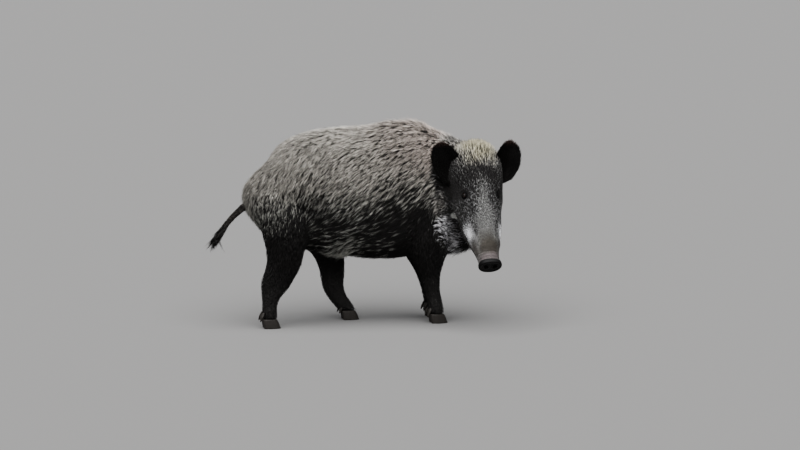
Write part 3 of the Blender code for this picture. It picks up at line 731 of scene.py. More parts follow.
# Patches of the face: along, to the side, out of the brow, their reach in each, their hair's tip
# colour, the share of pale hairs, how fully they cover, and 1 where they end with the head.
FACE_PATCHES = (
    ((0.2, 0.09, 0.0), (0.3, 0.3, 0.3), (0.37, 0.37, 0.37), 0.25, 1.0, 1),  # face as a whole
    ((0.0, 0.0, 0.11), (0.08, 0.075, 0.075), (0.36, 0.33, 0.23), 0.66, 1.0, 1),  # fawn crown
    ((-0.02, 0.0, 0.055), (0.034, 0.06, 0.05), (0.36, 0.33, 0.23), 1.35, 0.9, 1),  # top of the poll
    ((0.105, 0.0, 0.085), (0.034, 0.085, 0.05), (0.27, 0.26, 0.25), 0.1, 1.0, 1),  # dark brow
    # Pale hair on the bridge, brightened further as a painted highlight along it.
    ((0.175, 0.0, 0.06), (0.07, 0.023, 0.05), (0.3, 0.3, 0.29), 0.64, 0.8, 1),  # pale bridge
    ((0.268, 0.0, 0.05), (0.066, 0.038, 0.05), (0.33, 0.33, 0.32), 0.9, 0.8, 1),  # where it widens
    ((0.136, 0.094, 0.01), (0.05, 0.026, 0.05), (0.07, 0.063, 0.063), 0.1, 0.95, 1),  # behind the eye
    # Under the ear: painted shadow of the ear on the side of the head.
    ((0.092, 0.108, 0.01), (0.06, 0.034, 0.05), (0.05, 0.05, 0.05), 0.02, 1.0, 1),  # black under the ear
    ((0.152, 0.134, -0.04), (0.044, 0.026, 0.045), (0.6, 0.56, 0.51), 0.46, 1.0, 0),  # beside the jaw
    ((0.04, 0.094, 0.06), (0.045, 0.02, 0.045), (0.16, 0.155, 0.15), 0.22, 1.0, 1),  # flecks beside the ear
    ((0.288, 0.07, 0.004), (0.036, 0.03, 0.03), (0.68, 0.68, 0.69), 0.4, 1.0, 1),  # flecks on the cheek
    ((0.313, 0.066, 0.0), (0.035, 0.028, 0.028), (0.85, 0.85, 0.87), 1.35, 1.0, 1),  # whitish cheek patch
    ((0.378, 0.0, 0.04), (0.064, 0.06, 0.056), (0.05, 0.043, 0.031), 1.0, 0.95, 1),  # olive muzzle top
    # Painted shade in the wrinkles behind the nose disc.
    ((0.384, 0.0, 0.03), (0.02, 0.052, 0.05), (0.03, 0.025, 0.021), 1.0, 0.8, 1),  # dark creases
    ((0.36, 0.052, 0.0), (0.038, 0.028, 0.02), (0.09, 0.081, 0.075), 1.0, 1.0, 1),  # paler upper lip
    # Painted shade on the jaw below the cheek.
    ((0.205, 0.06, -0.115), (0.07, 0.036, 0.045), (0.094, 0.086, 0.078), 0.12, 1.0, 1),  # dark jaw
    ((0.3, 0.045, -0.062), (0.09, 0.045, 0.03), (0.16, 0.148, 0.133), 0.3, 1.0, 1),  # dark lips
    ((0.25, 0.06, -0.185), (0.05, 0.06, 0.04), (0.33, 0.32, 0.3), 0.24, 1.0, 0),  # throat
    ((0.412, 0.0, 0.03), (0.016, 0.07, 0.06), (0.13, 0.109, 0.109), 1.0, 1.0, 1),  # snout's bare rim
)


def painted(colour, share, weight, paint, pale):
    """The colour and the share, moved by this weight towards a paint and its share of pale hairs."""
    return colour + (np.array(paint) - colour) * weight[:, None], share + (pale - share) * weight


def markings(at):
    """At each place, the colour of the hair's pale tips and the share of the hairs that have them: a plain
    coat that pales from the shade line upwards, partly its own darker underside and partly painted shade
    and light, with its patches laid over it one after the other."""
    along, height, rise, nose, brow = at["along"], at["height"], at["rise"], at["nose"], at["brow"]
    side, wave = np.abs(at["left"]), at["wave"]
    # The shade line: below it the coat turns dark, above it pale. This is partly the coat's own darker
    # underside, and partly painted shade below and painted light on top, as the overhead light falls. The
    # bump at 0.73 along raises the line as painted shadow in the hollow before the thigh, and the last rise
    # near the top of the back is painted light.
    shade = 0.42 - 0.04 * ramp(along, 0.42, 0.55) + 0.05 * bump(along, 0.73, 0.08)
    shade = shade - 0.050 * ramp(along, 0.78, 0.92) + 0.035 * wave
    share = 0.08 + 0.05 * ramp(along, 0.36, 0.56) + 0.25 * ramp(height, shade + 0.01, shade + 0.11)
    share = share + 0.34 * ramp(height, shade + 0.06, shade + 0.20)
    share = share + 0.07 * ramp(height, shade + 0.20, shade + 0.30) * ramp(along, 0.36, 0.55)
    # Painted sheen of the overhead light on the upper flank by the rump.
    share = share + PAINTED_SHEEN_SHARE * bump(along, 0.80, 0.07) * bump(height, 0.62, 0.06)
    withers = ramp(rise, 0.25, 0.85) * bump(along, 0.24, 0.18)
    olive = ramp(-height, -0.56, -0.40)
    colour = np.array(GRIZZLE) + (np.array(OLIVE) - GRIZZLE) * olive[:, None]
    colour = colour + (np.array(RUSSET) - GRIZZLE) * withers[:, None]
    for spot, reach, paint, pale, cover, kept_to_head in FACE_PATCHES:
        gap = ((nose - spot[0]) / reach[0]) ** 2 + ((brow - spot[2]) / reach[2]) ** 2
        gap = np.sqrt(gap + ((side - spot[1]) / reach[1]) ** 2) + 0.22 * wave
        weight = cover * ramp(-gap, -1.6, -0.3) * (1 - kept_to_head * ramp(along, 0.10, 0.18))
        colour, share = painted(colour, share, weight, paint, pale)
    beside_jaw = bump(along, 0.10, 0.08) * bump(height, 0.475, 0.050) * (1 - 0.8 * at["head"])
    share = share + JAW_SHARE * beside_jaw
    thigh_top = height + 0.06 * ramp(along, 0.85, 0.97)
    share = share * (1 - 0.99 * ramp(at["leg"], 0.35, 0.85) * (1 - ramp(thigh_top, 0.31, 0.44)))
    colour, share = painted(colour, share, ramp(ruff_share(at), 0.05, 0.45), RUFF_PAINT, RUFF_SHARE)
    share = share + FOLD_SHARE * fold_share(at)
    colour, share = painted(colour, share, ramp(cheek_share(at), 0.15, 0.45), CHEEK_PAINT, CHEEK_SHARE)
    share = share + NAPE_SHARE * ramp(rise, 0.35, 0.80) * bump(along, 0.08, 0.10) * ramp(-nose, 0, 0.03)
    share = share * (1 - mouth_share(nose, brow, 0, 0.006))
    # A dark ring round each eye, partly painted shade under the brow.
    ring = 1 - ramp(at["eye"], 0.018, 0.025)
    colour = colour + (np.array(EYE_RING_AND_SHADE) - colour) * ring[:, None]
    return np.column_stack((colour, share + (FULL_SHARE - share) * (1 - ramp(at["eye"], 0.012, 0.018))))


def set_attribute(mesh, name, kind, values):
    """One value at each of the mesh's points."""
    layer = mesh.attributes.new(name, kind, "POINT")
    field = "color" if kind == "FLOAT_COLOR" else "value"
    layer.data.foreach_set(field, np.asarray(values, np.float32).ravel())


hair_group = bpy.data.node_groups.new("grizzled hair", "ShaderNodeTree")
for socket_name, kind in (("Marking", "NodeSocketColor"), ("Share", "NodeSocketFloat"),
                          ("Strand", "NodeSocketFloat"), ("Along", "NodeSocketFloat")):
    hair_group.interface.new_socket(socket_name, in_out="INPUT", socket_type=kind)
for socket_name, kind in (("Color", "NodeSocketColor"), ("Roughness", "NodeSocketFloat")):
    hair_group.interface.new_socket(socket_name, in_out="OUTPUT", socket_type=kind)


def add_node(tree, kind, links_in=(), **settings):
    """A node with these settings, whose inputs take these sockets or numbers by index or name."""
    node = tree.nodes.new(kind)
    for name, value in settings.items():
        setattr(node, name, value)
    for key, source in dict(links_in).items():
        if isinstance(source, bpy.types.NodeSocket):
            tree.links.new(source, node.inputs[key])
        else:
            node.inputs[key].default_value = source
    return node


def smooth_step(tree, value, between):
    """0 below the first of these two numbers, 1 above the second, and 3t^2 - 2t^3 between them."""
    low, high = between
    return add_node(tree, "ShaderNodeMapRange", {"Value": value, "From Min": low, "From Max": high},
                    interpolation_type="SMOOTHSTEP").outputs[0]


def fill_hair_group(tree):
    """Pale = (strand below share) x (along past the dark root), with a shorter dark root where the share
    is over one; the colour goes from black to the marking."""
    given = tree.nodes.new("NodeGroupInput").outputs
    out = tree.nodes.new("NodeGroupOutput")
    margin = add_node(tree, "ShaderNodeMath", {0: given["Share"], 1: given["Strand"]}, operation="SUBTRACT")
    chosen = smooth_step(tree, margin.outputs[0], CHOICE)
    extra = add_node(tree, "ShaderNodeMath", {0: given["Share"], 1: 1.0}, operation="SUBTRACT",
                     use_clamp=True)
    reach = add_node(tree, "ShaderNodeMath", {0: given["Along"], 1: extra.outputs[0]}, operation="ADD")
    past_root = smooth_step(tree, reach.outputs[0], DARK_ROOT)
    pale = add_node(tree, "ShaderNodeMath", {0: chosen, 1: past_root}, operation="MULTIPLY")
    mixed = add_node(tree, "ShaderNodeMix", {0: pale.outputs[0], 6: (*BLACK, 1), 7: given["Marking"]},
                     data_type="RGBA")
    tree.links.new(mixed.outputs[2], out.inputs["Color"])
    rough = add_node(tree, "ShaderNodeMapRange", {"Value": given["Strand"], "To Min": HAIR_ROUGHNESS[0],
                                                  "To Max": HAIR_ROUGHNESS[1]})
    tree.links.new(rough.outputs[0], out.inputs["Roughness"])


fill_hair_group(hair_group)


def new_material(name):
    """A node material and its Principled shader."""
    material = bpy.data.materials.new(name)
    material.use_nodes = True
    return material, material.node_tree, material.node_tree.nodes["Principled BSDF"]


def texture(tree, kind, stretch=(1.0, 1.0, 1.0), **inputs):
    """A texture node on the object's own coordinates, times this stretch along X, Y and Z."""
    place = tree.nodes.new("ShaderNodeTexCoord").outputs["Object"]
    if stretch != (1.0, 1.0, 1.0):
        place = add_node(tree, "ShaderNodeMapping", {"Vector": place, "Scale": stretch}).outputs["Vector"]
    return add_node(tree, kind, {"Vector": place, **inputs})


def raise_grain(tree, shader, height, strength, distance):
    """Bumps the shader's surface by strength x distance x this height."""
    relief = add_node(tree, "ShaderNodeBump", {"Height": height, "Strength": strength,
                                               "Distance": distance})
    tree.links.new(relief.outputs["Normal"], shader.inputs["Normal"])


def paint_grain(tree, shader, grain, dark, pale):
    """Feeds the shader a colour that goes from dark to pale by this grain."""
    mix = add_node(tree, "ShaderNodeMix", {0: grain, 6: dark, 7: pale}, data_type="RGBA")
    tree.links.new(mix.outputs[2], shader.inputs["Base Color"])


def set_gloss(shader, roughness, shine):
    """The shader's roughness and how strongly it mirrors."""
    shader.inputs["Roughness"].default_value = roughness
    shader.inputs["Specular IOR Level"].default_value = shine


def wear_hair(tree, shader, strand=None):
    """Feeds the shader from the hair group and the mesh's own marking, strand and along."""
    marking = add_node(tree, "ShaderNodeAttribute", attribute_name="marking")
    along = add_node(tree, "ShaderNodeAttribute", attribute_name="along")
    if strand is None:
        strand = add_node(tree, "ShaderNodeAttribute", attribute_name="strand").outputs["Fac"]
    hair = tree.nodes.new("ShaderNodeGroup")
    hair.node_tree = hair_group
    tree.links.new(marking.outputs["Color"], hair.inputs["Marking"])
    tree.links.new(marking.outputs["Alpha"], hair.inputs["Share"])
    tree.links.new(strand, hair.inputs["Strand"])
    tree.links.new(along.outputs["Fac"], hair.inputs["Along"])
    tree.links.new(hair.outputs["Color"], shader.inputs["Base Color"])
    tree.links.new(hair.outputs["Roughness"], shader.inputs["Roughness"])
    shader.inputs["Specular IOR Level"].default_value = HAIR_SHEEN


HIDE_GRAIN, HIDE_RELIEF = 420.0, (0.5, 0.0012)  # grains to the metre; strength, and height in metres
hide_material, hide_tree, hide_shader = new_material("hide")
grain = texture(hide_tree, "ShaderNodeTexNoise", Scale=HIDE_GRAIN, Detail=3.0, Roughness=0.6)
wear_hair(hide_tree, hide_shader, grain.outputs["Fac"])
raise_grain(hide_tree, hide_shader, grain.outputs["Fac"], *HIDE_RELIEF)

EAR_ZONE = 0.2  # how far round an ear's foot the hide may be the ear's
whole_points, whole_faces = mesh_arrays(skin.data)
whole_edges = links(whole_faces, len(whole_points))
whole_at = survey(whole_points, whole_edges)
hide_marks = markings(whole_at)
for _, side in SIDES:
    foot, _, width, length = ear_axes(side)
    arm = whole_points - foot
    near_ear = (np.abs(arm @ width) < EAR_WIDTH * 0.7) & (np.linalg.norm(arm, axis=1) < EAR_ZONE)
    # The ear's hide takes the ear's black, darkened by painted shade.
    blackened = ramp(arm @ length, -0.064, -0.046) * near_ear
    hide_marks[:, :3] += (np.array(EAR_BLACK_AND_SHADE) - hide_marks[:, :3]) * blackened[:, None]
    hide_marks[:, 3] += (FULL_SHARE - hide_marks[:, 3]) * ramp(arm @ length, -0.044, -0.028) * near_ear
bare = ramp(whole_at["nose"], 0.27, 0.36) * whole_at["head"]
set_attribute(skin.data, "marking", "FLOAT_COLOR", hide_marks)
set_attribute(skin.data, "along", "FLOAT", 0.22 + 0.30 * whole_at["head"] + 0.18 * bare)
dress(skin, hide_material)
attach(skin, "root")
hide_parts(*FLESH, "ear_right", "ear_left", "tail")

# ---------------------------------------------------------------------------
# The coat: stiff bristles in overlapping tufts, gathered in locks, dark at the
# root and pale at the tip, long on the crest and short on the face and legs.
# ---------------------------------------------------------------------------
rng = np.random.default_rng(11)
STREAK_STEP = 0.22  # like locks follow each other at this share of a length
STREAK_CROWD = 9  # and each is unlike this many round it
LIE_ROUNDS, NORMAL_ROUNDS = 24, 2
BRIGHT = 0.08  # the share of the long tufts that stand out pale
BRIGHTER, BRIGHT_SHARE = 1.15, 0.45  # how much paler they are, and what their share gains
LIKE, LIKE_LONG = 0.22, 0.61  # how far a lock's tufts have its shade, and how much further in long hair
TINT = (0.42, 1.22)  # how much darker or paler one lock is than the next
STRAY = 0.005  # how far a lock strays over the edge of a marking
PATCH = 0.003  # the side of a tuft's patch on the coat's map
CANDIDATES, APART = 2.2, 0.80  # roots tried for each kept, and the share of their spacing kept free
SQUARE_METRE = 1e4  # square centimetres
LOOSE, LOOSE_ALONG = 1.2, 2.2  # how many tuft widths a lock spreads aside, and how much more along it
LEAN_IN, TUFT_THICK = 0.9, 0.32  # how far its tufts lean together, and how thick they are for their width
TUFT_PLACES = (0.0, 0.42, 0.46, 0.42, 1.0)  # of its five points along a hair, for its colour
LOCK_SWAY, TUFT_SWAY = 0.10, 0.06  # how much they turn aside, in radians
ROOT_SWAY, TIP_SWAY = 5, 4  # how much their rises differ, in degrees
LOCK_LENGTHS, TUFT_LENGTHS, TUFT_WIDTHS = (0.80, 1.08), (0.80, 1.12), (0.8, 1.2)  # between these shares
coat_material, coat_tree, coat_shader = new_material("bristle coat")
wear_hair(coat_tree, coat_shader)


def sow(points, faces, density):
    """Roots spread over the faces, so many to each square metre: their face's corners and their weights."""
    share = np.linalg.norm(face_normals(points, faces), axis=1) / 2 * density[faces].mean(1)
    total = share.sum()
    count = int(total)
    marks = (np.arange(count) + rng.random(count)) * total / count
    face = np.minimum(np.searchsorted(np.cumsum(share), marks), len(faces) - 1)
    u, v = np.sqrt(rng.random(count)), rng.random(count)
    return faces[face], np.column_stack((1 - u, u * (1 - v), u * v))


def set_apart(places, gap):
    """Which of these places to keep, so that none has another nearer than its gap, in a random order."""
    tree = tree_of(places)
    kept = np.ones(len(places), bool)
    for index in rng.permutation(len(places)):
        if kept[index]:
            for _, other, _ in tree.find_range(places[index], gap[index]):
                kept[other] = False
            kept[index] = True
    return kept


def spread(values, corners, weights):
    """Values at points, carried to places inside faces."""
    values = np.asarray(values)
    if values.ndim == 1:
        return (values[corners] * weights).sum(1)
    return (values[corners] * weights[:, :, None]).sum(1)


def turned(vectors, normals, angle):
    """The vectors turned about the normals by this many radians each."""
    side = np.cross(normals, vectors)
    return vectors * np.cos(angle)[:, None] + side * np.sin(angle)[:, None]


def tuft_faces(count):
    """Six triangles for each tuft of five points: its root, three round its thick, and its tip."""
    pattern = np.array(((0, 2, 1), (0, 3, 2), (0, 1, 3), (4, 1, 2), (4, 2, 3), (4, 3, 1)))
    return (np.arange(count)[:, None, None] * 5 + pattern[None]).reshape(-1, 3)


def streaked(places, ways, step):
    """A number from 0 to 1 for each place, in even shares, near to those of the places that it lies
    over and far from those beside it."""
    tree = tree_of(places)
    below = np.array([tree.find(place)[1] for place in places + ways * step[:, None]])
    number = rng.random(len(places))
    total = number + number[below] + 0.8 * number[below[below]]
    around = np.array([[index for _, index, _ in tree.find_n(place, STREAK_CROWD)] for place in places])
    total = total - total[around].mean(1)
    return np.argsort(np.argsort(total)) / len(places)


def grow(name, root, normal, lie, shape, marking, spots, sink=0.0012):
    """One coat piece. Each lock's tufts stand round its root and lean together at their tips.

    A tuft rises from its root at the root angle as far as its bend and at the tip angle after, and is
    thickest where it bends. Its patch on the map lies at its root's spot.
    """
    length, width, root_rise, tip_rise = shape[:, :4].T
    count = len(root)
    lie = turned(lie, normal, rng.normal(0, LOCK_SWAY, count))
    lock_strand = streaked(root, lie, length * STREAK_STEP)
    lock_length = length * rng.uniform(*LOCK_LENGTHS, count)
    k = np.repeat(np.arange(count), (shape[:, 5] + rng.random(count)).astype(int))
    n = len(k)
    across = np.cross(normal, lie)
    loose = (width * LOOSE)[k]
    out, forth = rng.uniform(-1, 1, n) * loose, rng.uniform(-1, 1, n) * loose * LOOSE_ALONG
    foot = root[k] + across[k] * out[:, None] + lie[k] * forth[:, None]
    lean = np.arctan2(out * LEAN_IN, lock_length[k])
    way = turned(lie[k], normal[k], rng.normal(0, TUFT_SWAY, n) - lean)
    long = lock_length[k] * rng.uniform(*TUFT_LENGTHS, n)
    first = np.radians(root_rise[k] + rng.normal(0, ROOT_SWAY, n))
    second = np.radians(tip_rise[k] + rng.normal(0, TIP_SWAY, n))
    up = normal[k]
    bend = foot + (way * np.cos(first)[:, None] + up * np.sin(first)[:, None]) * (long * BEND)[:, None]
    tip = way * np.cos(second)[:, None] + up * np.sin(second)[:, None]
    tip = bend + tip * (long * (1 - BEND))[:, None]
    side = np.cross(up, way) * (width[k] / 2 * rng.uniform(*TUFT_WIDTHS, n))[:, None]
    thick = up * (width[k] * TUFT_THICK)[:, None]
    points = np.stack((foot - up * sink, bend + side, bend + thick, bend - side, tip), axis=1)
    obj = mesh_object(name, points.reshape(-1, 3), tuft_faces(n))
    mesh = obj.data
    like = (LIKE + LIKE_LONG * ramp(length, 0.018, 0.040))[k]
    strand = np.clip(lock_strand[k] * like + rng.random(n) * (1 - like), 0, 1)
    set_attribute(mesh, "strand", "FLOAT", np.repeat(strand, 5))
    set_attribute(mesh, "along", "FLOAT", np.tile(TUFT_PLACES, n))
    marking = marking[k]
    bright = (rng.random(n) < BRIGHT) & (long > 0.02) & (marking[:, 3] > 0.15)
    marking[bright] = marking[bright] * (BRIGHTER, BRIGHTER, BRIGHTER, 1.0) + (0, 0, 0, BRIGHT_SHARE)
    set_attribute(mesh, "marking", "FLOAT_COLOR", np.repeat(marking, 5, axis=0))
    patch = np.array(((-1, 0), (0, -1), (0, 0), (0, 1), (1, 0))) * PATCH / 2
    spots = np.clip(spots, PATCH, 1 - PATCH)
    at_points = (spots[k][:, None, :] + patch[None]).reshape(-1, 2)
    layer = mesh.uv_layers.new(name="OFBake")
    layer.uv.foreach_set("vector", at_points[tuft_faces(n).ravel()].astype(np.float32).ravel())
    dress(obj, coat_material)
    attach(obj, "root")
    return obj


skin_normals = point_normals(skin_points, skin_faces)
skin_at = survey(skin_points, skin_edges)
shape_there = coat_at(skin_at)
bare_lids = np.ones(len(skin_points))
for name, side in SIDES:
    look, slit, over = gaze(side)
    arm = skin_points - EYES[name]
    slot_gap = np.hypot((arm @ slit) / (SLIT_LENGTH * 0.60), (arm @ over) / (SLIT_HEIGHT * 0.72))
    bare_lids *= np.where((arm @ look > 0) & (slot_gap < 1), 0, 1)
bare_lids *= mouth_share(skin_at["nose"], skin_at["brow"], -0.001, 0.0045) < 0.5
locks_there = shape_there[:, 4]
corners, weights = sow(skin_points, skin_faces, locks_there * SQUARE_METRE * bare_lids * CANDIDATES)
root = spread(skin_points, corners, weights)
kept = set_apart(root, APART / np.sqrt(spread(locks_there, corners, weights) * SQUARE_METRE))
corners, weights, root = corners[kept], weights[kept], root[kept]
root_normal = unit(spread(eased(skin_normals, skin_edges, NORMAL_ROUNDS), corners, weights))
root_at = {key: spread(value, corners, weights) for key, value in skin_at.items()}
skin_lie = eased(lie_at(skin_at, skin_normals), skin_edges, LIE_ROUNDS)
root_lie = laid(spread(skin_lie, corners, weights), root_normal)
root_shape = coat_at(root_at)
strayed = dict(root_at)
for key in ("nose", "left", "brow"):
    strayed[key] = root_at[key] + rng.normal(0, STRAY, len(root))
root_marks = markings(strayed)
root_marks[:, :3] *= rng.uniform(*TINT, (len(root), 1))

# The map of each part is an unrolled tube: one way along it, the other round it.
BODY_PIECES = ("neck", "shoulder", "ribs", "flank", "rump")
FACE_FROM = 0.20  # from the poll, where the brow's piece ends and the face's begins


def round_share(aside, up):
    """The angle whose sides are these two distances, as a share of a turn from 0 to 1."""
    return np.arctan2(aside, up) / (2 * math.pi) + 0.5


root_along, root_nose = root_at["along"], root_at["nose"]
step = np.minimum((root_along * (BACKBONE_POINTS - 1)).astype(int), BACKBONE_POINTS - 1)
arm = root - backbone[step]
flat_way = np.column_stack((-root_at["way"][:, 1], root_at["way"][:, 0]))
round_body = round_share((arm[:, :2] * unit(flat_way)).sum(1), arm[:, 2])
round_head = round_share(root_at["left"], root_at["brow"] + 0.02)
head_root = root_at["head"] > 0.5
leg_root = (root_at["leg"] > 0.5) & ~head_root
body_root = ~head_root & ~leg_root


def grow_part(name, chosen, spots):
    """The coat piece of the chosen roots."""
    low, high = spots[chosen].min(0), spots[chosen].max(0)
    grow(name, root[chosen], root_normal[chosen], root_lie[chosen], root_shape[chosen], root_marks[chosen],
         (spots[chosen] - low) / (high - low))


body_spots = np.column_stack((root_along, round_body))
cuts = np.quantile(root_along[body_root], np.linspace(0, 1, len(BODY_PIECES) + 1))
cuts[-1] += 1
for name, low, high in zip(BODY_PIECES, cuts[:-1], cuts[1:]):
    grow_part(f"coat_{name}", body_root & (root_along >= low) & (root_along < high), body_spots)
face_spots = np.column_stack((root_nose, round_head))
grow_part("coat_face", head_root & (root_nose > FACE_FROM), face_spots)
grow_part("coat_brow", head_root & (root_nose <= FACE_FROM), face_spots)
fore = root[:, 0] > (middle("fore_leg_right_lower")[0] + middle("hind_leg_left_lower")[0]) / 2
for legs, pair_root in ((FORE_LEGS, leg_root & fore), (HIND_LEGS, leg_root & ~fore)):
    for leg, twin in (legs, legs[::-1]):
        foot, other = middle(f"{leg}_lower"), middle(f"{twin}_lower")
        chosen = pair_root & (np.abs(root[:, 1] - foot[1]) < np.abs(root[:, 1] - other[1]))
        round_leg = round_share(root[:, 1] - foot[1], root[:, 0] - foot[0])
        grow_part(f"coat_{leg}", chosen, np.column_stack((root[:, 2], round_leg)))

# The ears' hair: short and black with a brown tip, a little longer round the leaf's rim, all
# of it lying from the root to the tip.
EAR_LOCKS = 7.0  # in each square centimetre
EAR_PAINT = (0.078, 0.048, 0.040)
EAR_BACK = (0.0042, 0.0037, 0.0035)
SHORT_SINK = 0.0006  # how deep the short hair's roots stand


def sown(points, faces, density):
    """Roots sown over a form, and the form's normals there."""
    corners, weights = sow(points, faces, density)
    return spread(points, corners, weights), unit(spread(point_normals(points, faces), corners, weights))


def shapes(count, *columns):
    """The shapes of this many locks, from columns and from numbers that are the same for all."""
    return np.column_stack([np.broadcast_to(column, count) for column in columns])


for name, side in SIDES:
    ear_points, ear_faces = ears[name]
    foot, facing, width, length = ear_axes(side)
    density = EAR_LOCKS * SQUARE_METRE * ramp((ear_points - foot) @ length, -0.044, -0.032)
    spot, out = sown(ear_points, ear_faces, density)
    high = (spot - foot) @ length / EAR_LENGTH[name]
    beside = (spot - foot) @ width
    rim = np.clip(ramp(np.abs(beside) / (EAR_WIDTH / 2), 0.62, 0.95) + ramp(high, 0.78, 0.9), 0, 1)
    hollow = out @ facing > 0.2
    way = length + width * (np.sign(beside) * ramp(np.abs(beside), 0, 0.05) * 0.35)[:, None]
    shape = shapes(len(spot), 0.008 + 0.003 * rim, 0.0012, 24 + 10 * rim, 8 + 10 * rim, 0, 3)
    tipped = np.clip(ramp(high, 0.70, 0.95) + 0.10 * rim * ~hollow, 0, 1)[:, None]
    # The hair in the hollow is darker than on the back: painted shade.
    black = np.where(hollow[:, None], EAR_BLACK_AND_SHADE, EAR_BACK)
    paint = black + (np.array(EAR_PAINT) - black) * tipped
    paint = np.column_stack((paint, FULL_SHARE - 0.6 * tipped))
    across = 0.5 + beside / EAR_WIDTH * 0.45 * np.where(hollow, 1, -1)
    spots = np.column_stack((np.clip(high, 0, 1), across))
    grow(f"coat_ear_{name}", spot, out, laid(way, out), shape, paint, spots, sink=SHORT_SINK)

# The tail's hair: flat along the stem, and a long black brush on its last third.
TAIL_LOCKS = 5.0  # in each square centimetre
TAIL_PAINT, TAIL_SHARE = (0.12, 0.105, 0.09), 0.45
tail_points, tail_faces = tail_form
spot, out = sown(tail_points, tail_faces, np.full(len(tail_points), TAIL_LOCKS * SQUARE_METRE))
step = ((spot[:, None, :] - tail_path[None, :, :3]) ** 2).sum(-1).argmin(1)
down_tail = step / (len(tail_path) - 1)
way = laid(tail_way[step], out)
brush = ramp(down_tail, 0.62, 0.92)
shape = shapes(len(spot), 0.016 + 0.050 * brush, 0.0015 + 0.0004 * brush,
               24 - 8 * brush, 7 - 3 * brush, 0, 6)
paint = np.column_stack((np.tile(TAIL_PAINT, (len(spot), 1)), TAIL_SHARE * (1 - brush)))
spots = np.column_stack((down_tail, round_share(out[:, 1], out[:, 2])))
tail_coat = grow("coat_tail", spot, out, way, shape, paint, spots, sink=SHORT_SINK)
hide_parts("tail_brush")

# ---------------------------------------------------------------------------
# The eyes: two dark brown balls with a wet, slightly swollen cornea, set behind
# the lids and out of round only there.
# ---------------------------------------------------------------------------
CORNEA, CORNEA_RISE = 0.0062, 0.0009  # its reach from the middle of the gaze, and its swelling there
EYE_ROWS, EYE_SIDES = 40, 48
# The eye's colours, from the middle of the gaze (0) to its side (1): pupil, iris, its dark edge, and white.
EYE_PAINTS = (
    (0.20, (0.002, 0.002, 0.002, 1)), (0.27, (0.015, 0.007, 0.003, 1)), (0.47, (0.010, 0.005, 0.003, 1)),
    (0.54, (0.003, 0.002, 0.002, 1)), (0.80, (0.030, 0.021, 0.017, 1)),
)
EYE_ROUGHNESS, EYE_SHINE = 0.06, 0.25


def ball_rows(rows, sides):
    """Rings of a unit ball about +Z, closer together at the front, from the front to the back."""
    polar = np.linspace(0.02, 1, rows) ** 1.5 * (math.pi - 0.02)
    turn = np.linspace(0, 2 * math.pi, sides, endpoint=False)
    return np.stack((np.sin(polar)[:, None] * np.cos(turn), np.sin(polar)[:, None] * np.sin(turn),
                     np.repeat(np.cos(polar)[:, None], sides, axis=1)), axis=-1)


eye_material, eye_tree, eye_shader = new_material("eye")
gaze_attribute = add_node(eye_tree, "ShaderNodeAttribute", attribute_name="off_gaze")
iris = add_node(eye_tree, "ShaderNodeValToRGB", {"Fac": gaze_attribute.outputs["Fac"]})
stops = iris.color_ramp.elements
for index, (place, paint) in enumerate(EYE_PAINTS):
    stop = stops[index] if index < 2 else stops.new(place)
    stop.position, stop.color = place, paint
eye_tree.links.new(iris.outputs["Color"], eye_shader.inputs["Base Color"])
set_gloss(eye_shader, EYE_ROUGHNESS, EYE_SHINE)
for name, side in SIDES:
    look, slit, across = gaze(side)
    ball = ball_rows(EYE_ROWS, EYE_SIDES)
    reach = np.hypot(ball[..., 0], ball[..., 1]) * EYEBALL
    front = (ball[..., 2] > 0) * ramp(CORNEA - reach, 0.0, CORNEA)
    size = EYEBALL + CORNEA_RISE * front
    place = EYES[name] - look * EYE_SINK
    rows = place + (ball @ np.array((slit, across, look))) * size[..., None]
    eye = mesh_object(f"eyeball_{name}", *loft(rows))
    off = np.append(np.arccos(np.clip(ball[..., 2], -1, 1)).ravel() / (math.pi / 2), (0, 2))
    set_attribute(eye.data, "off_gaze", "FLOAT", np.clip(off, 0, 1))
    dress(eye, eye_material)
    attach(eye, "root")
    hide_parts(f"eye_{name}")

# ---------------------------------------------------------------------------
# The nose disc: a bare plate of wet black gristle with a raised rim and two
# round nostrils, on the end of the snout.
# ---------------------------------------------------------------------------
DISC_HALF_WIDTH, DISC_HALF_HEIGHT, DISC_THICK = 0.0440, 0.0350, 0.0175
DISC_TILT = 5.0  # degrees by which its top leans back
DISC_POWER = 2.3  # an oval at 2, squarer above it
NOSTRIL_OUT, NOSTRIL_UP = 0.0165, 0.002  # from the middle of the disc
NOSTRIL_WIDE, NOSTRIL_TALL, NOSTRIL_DEEP = 0.0084, 0.0102, 0.0125
DISC_RINGS, RIM_RINGS, DISC_SIDES = 60, 8, 120
NOSE_DARK, NOSE_PALE = (0.0011, 0.0010, 0.0011, 1), (0.0032, 0.0029, 0.0031, 1)
NOSE_GRAIN, NOSE_RELIEF = 620.0, (0.5, 0.0006)
NOSE_ROUGHNESS, NOSE_SHINE = 0.5, 0.08
tilt = math.radians(-DISC_TILT)
disc_out = TO_NOSE * math.cos(tilt) - OUT_OF_BROW * math.sin(tilt)
disc_up = TO_NOSE * math.sin(tilt) + OUT_OF_BROW * math.cos(tilt)
disc_back = POLL + TO_NOSE * (HEAD_LENGTH - DISC_THICK * 0.7) + OUT_OF_BROW * 0.001


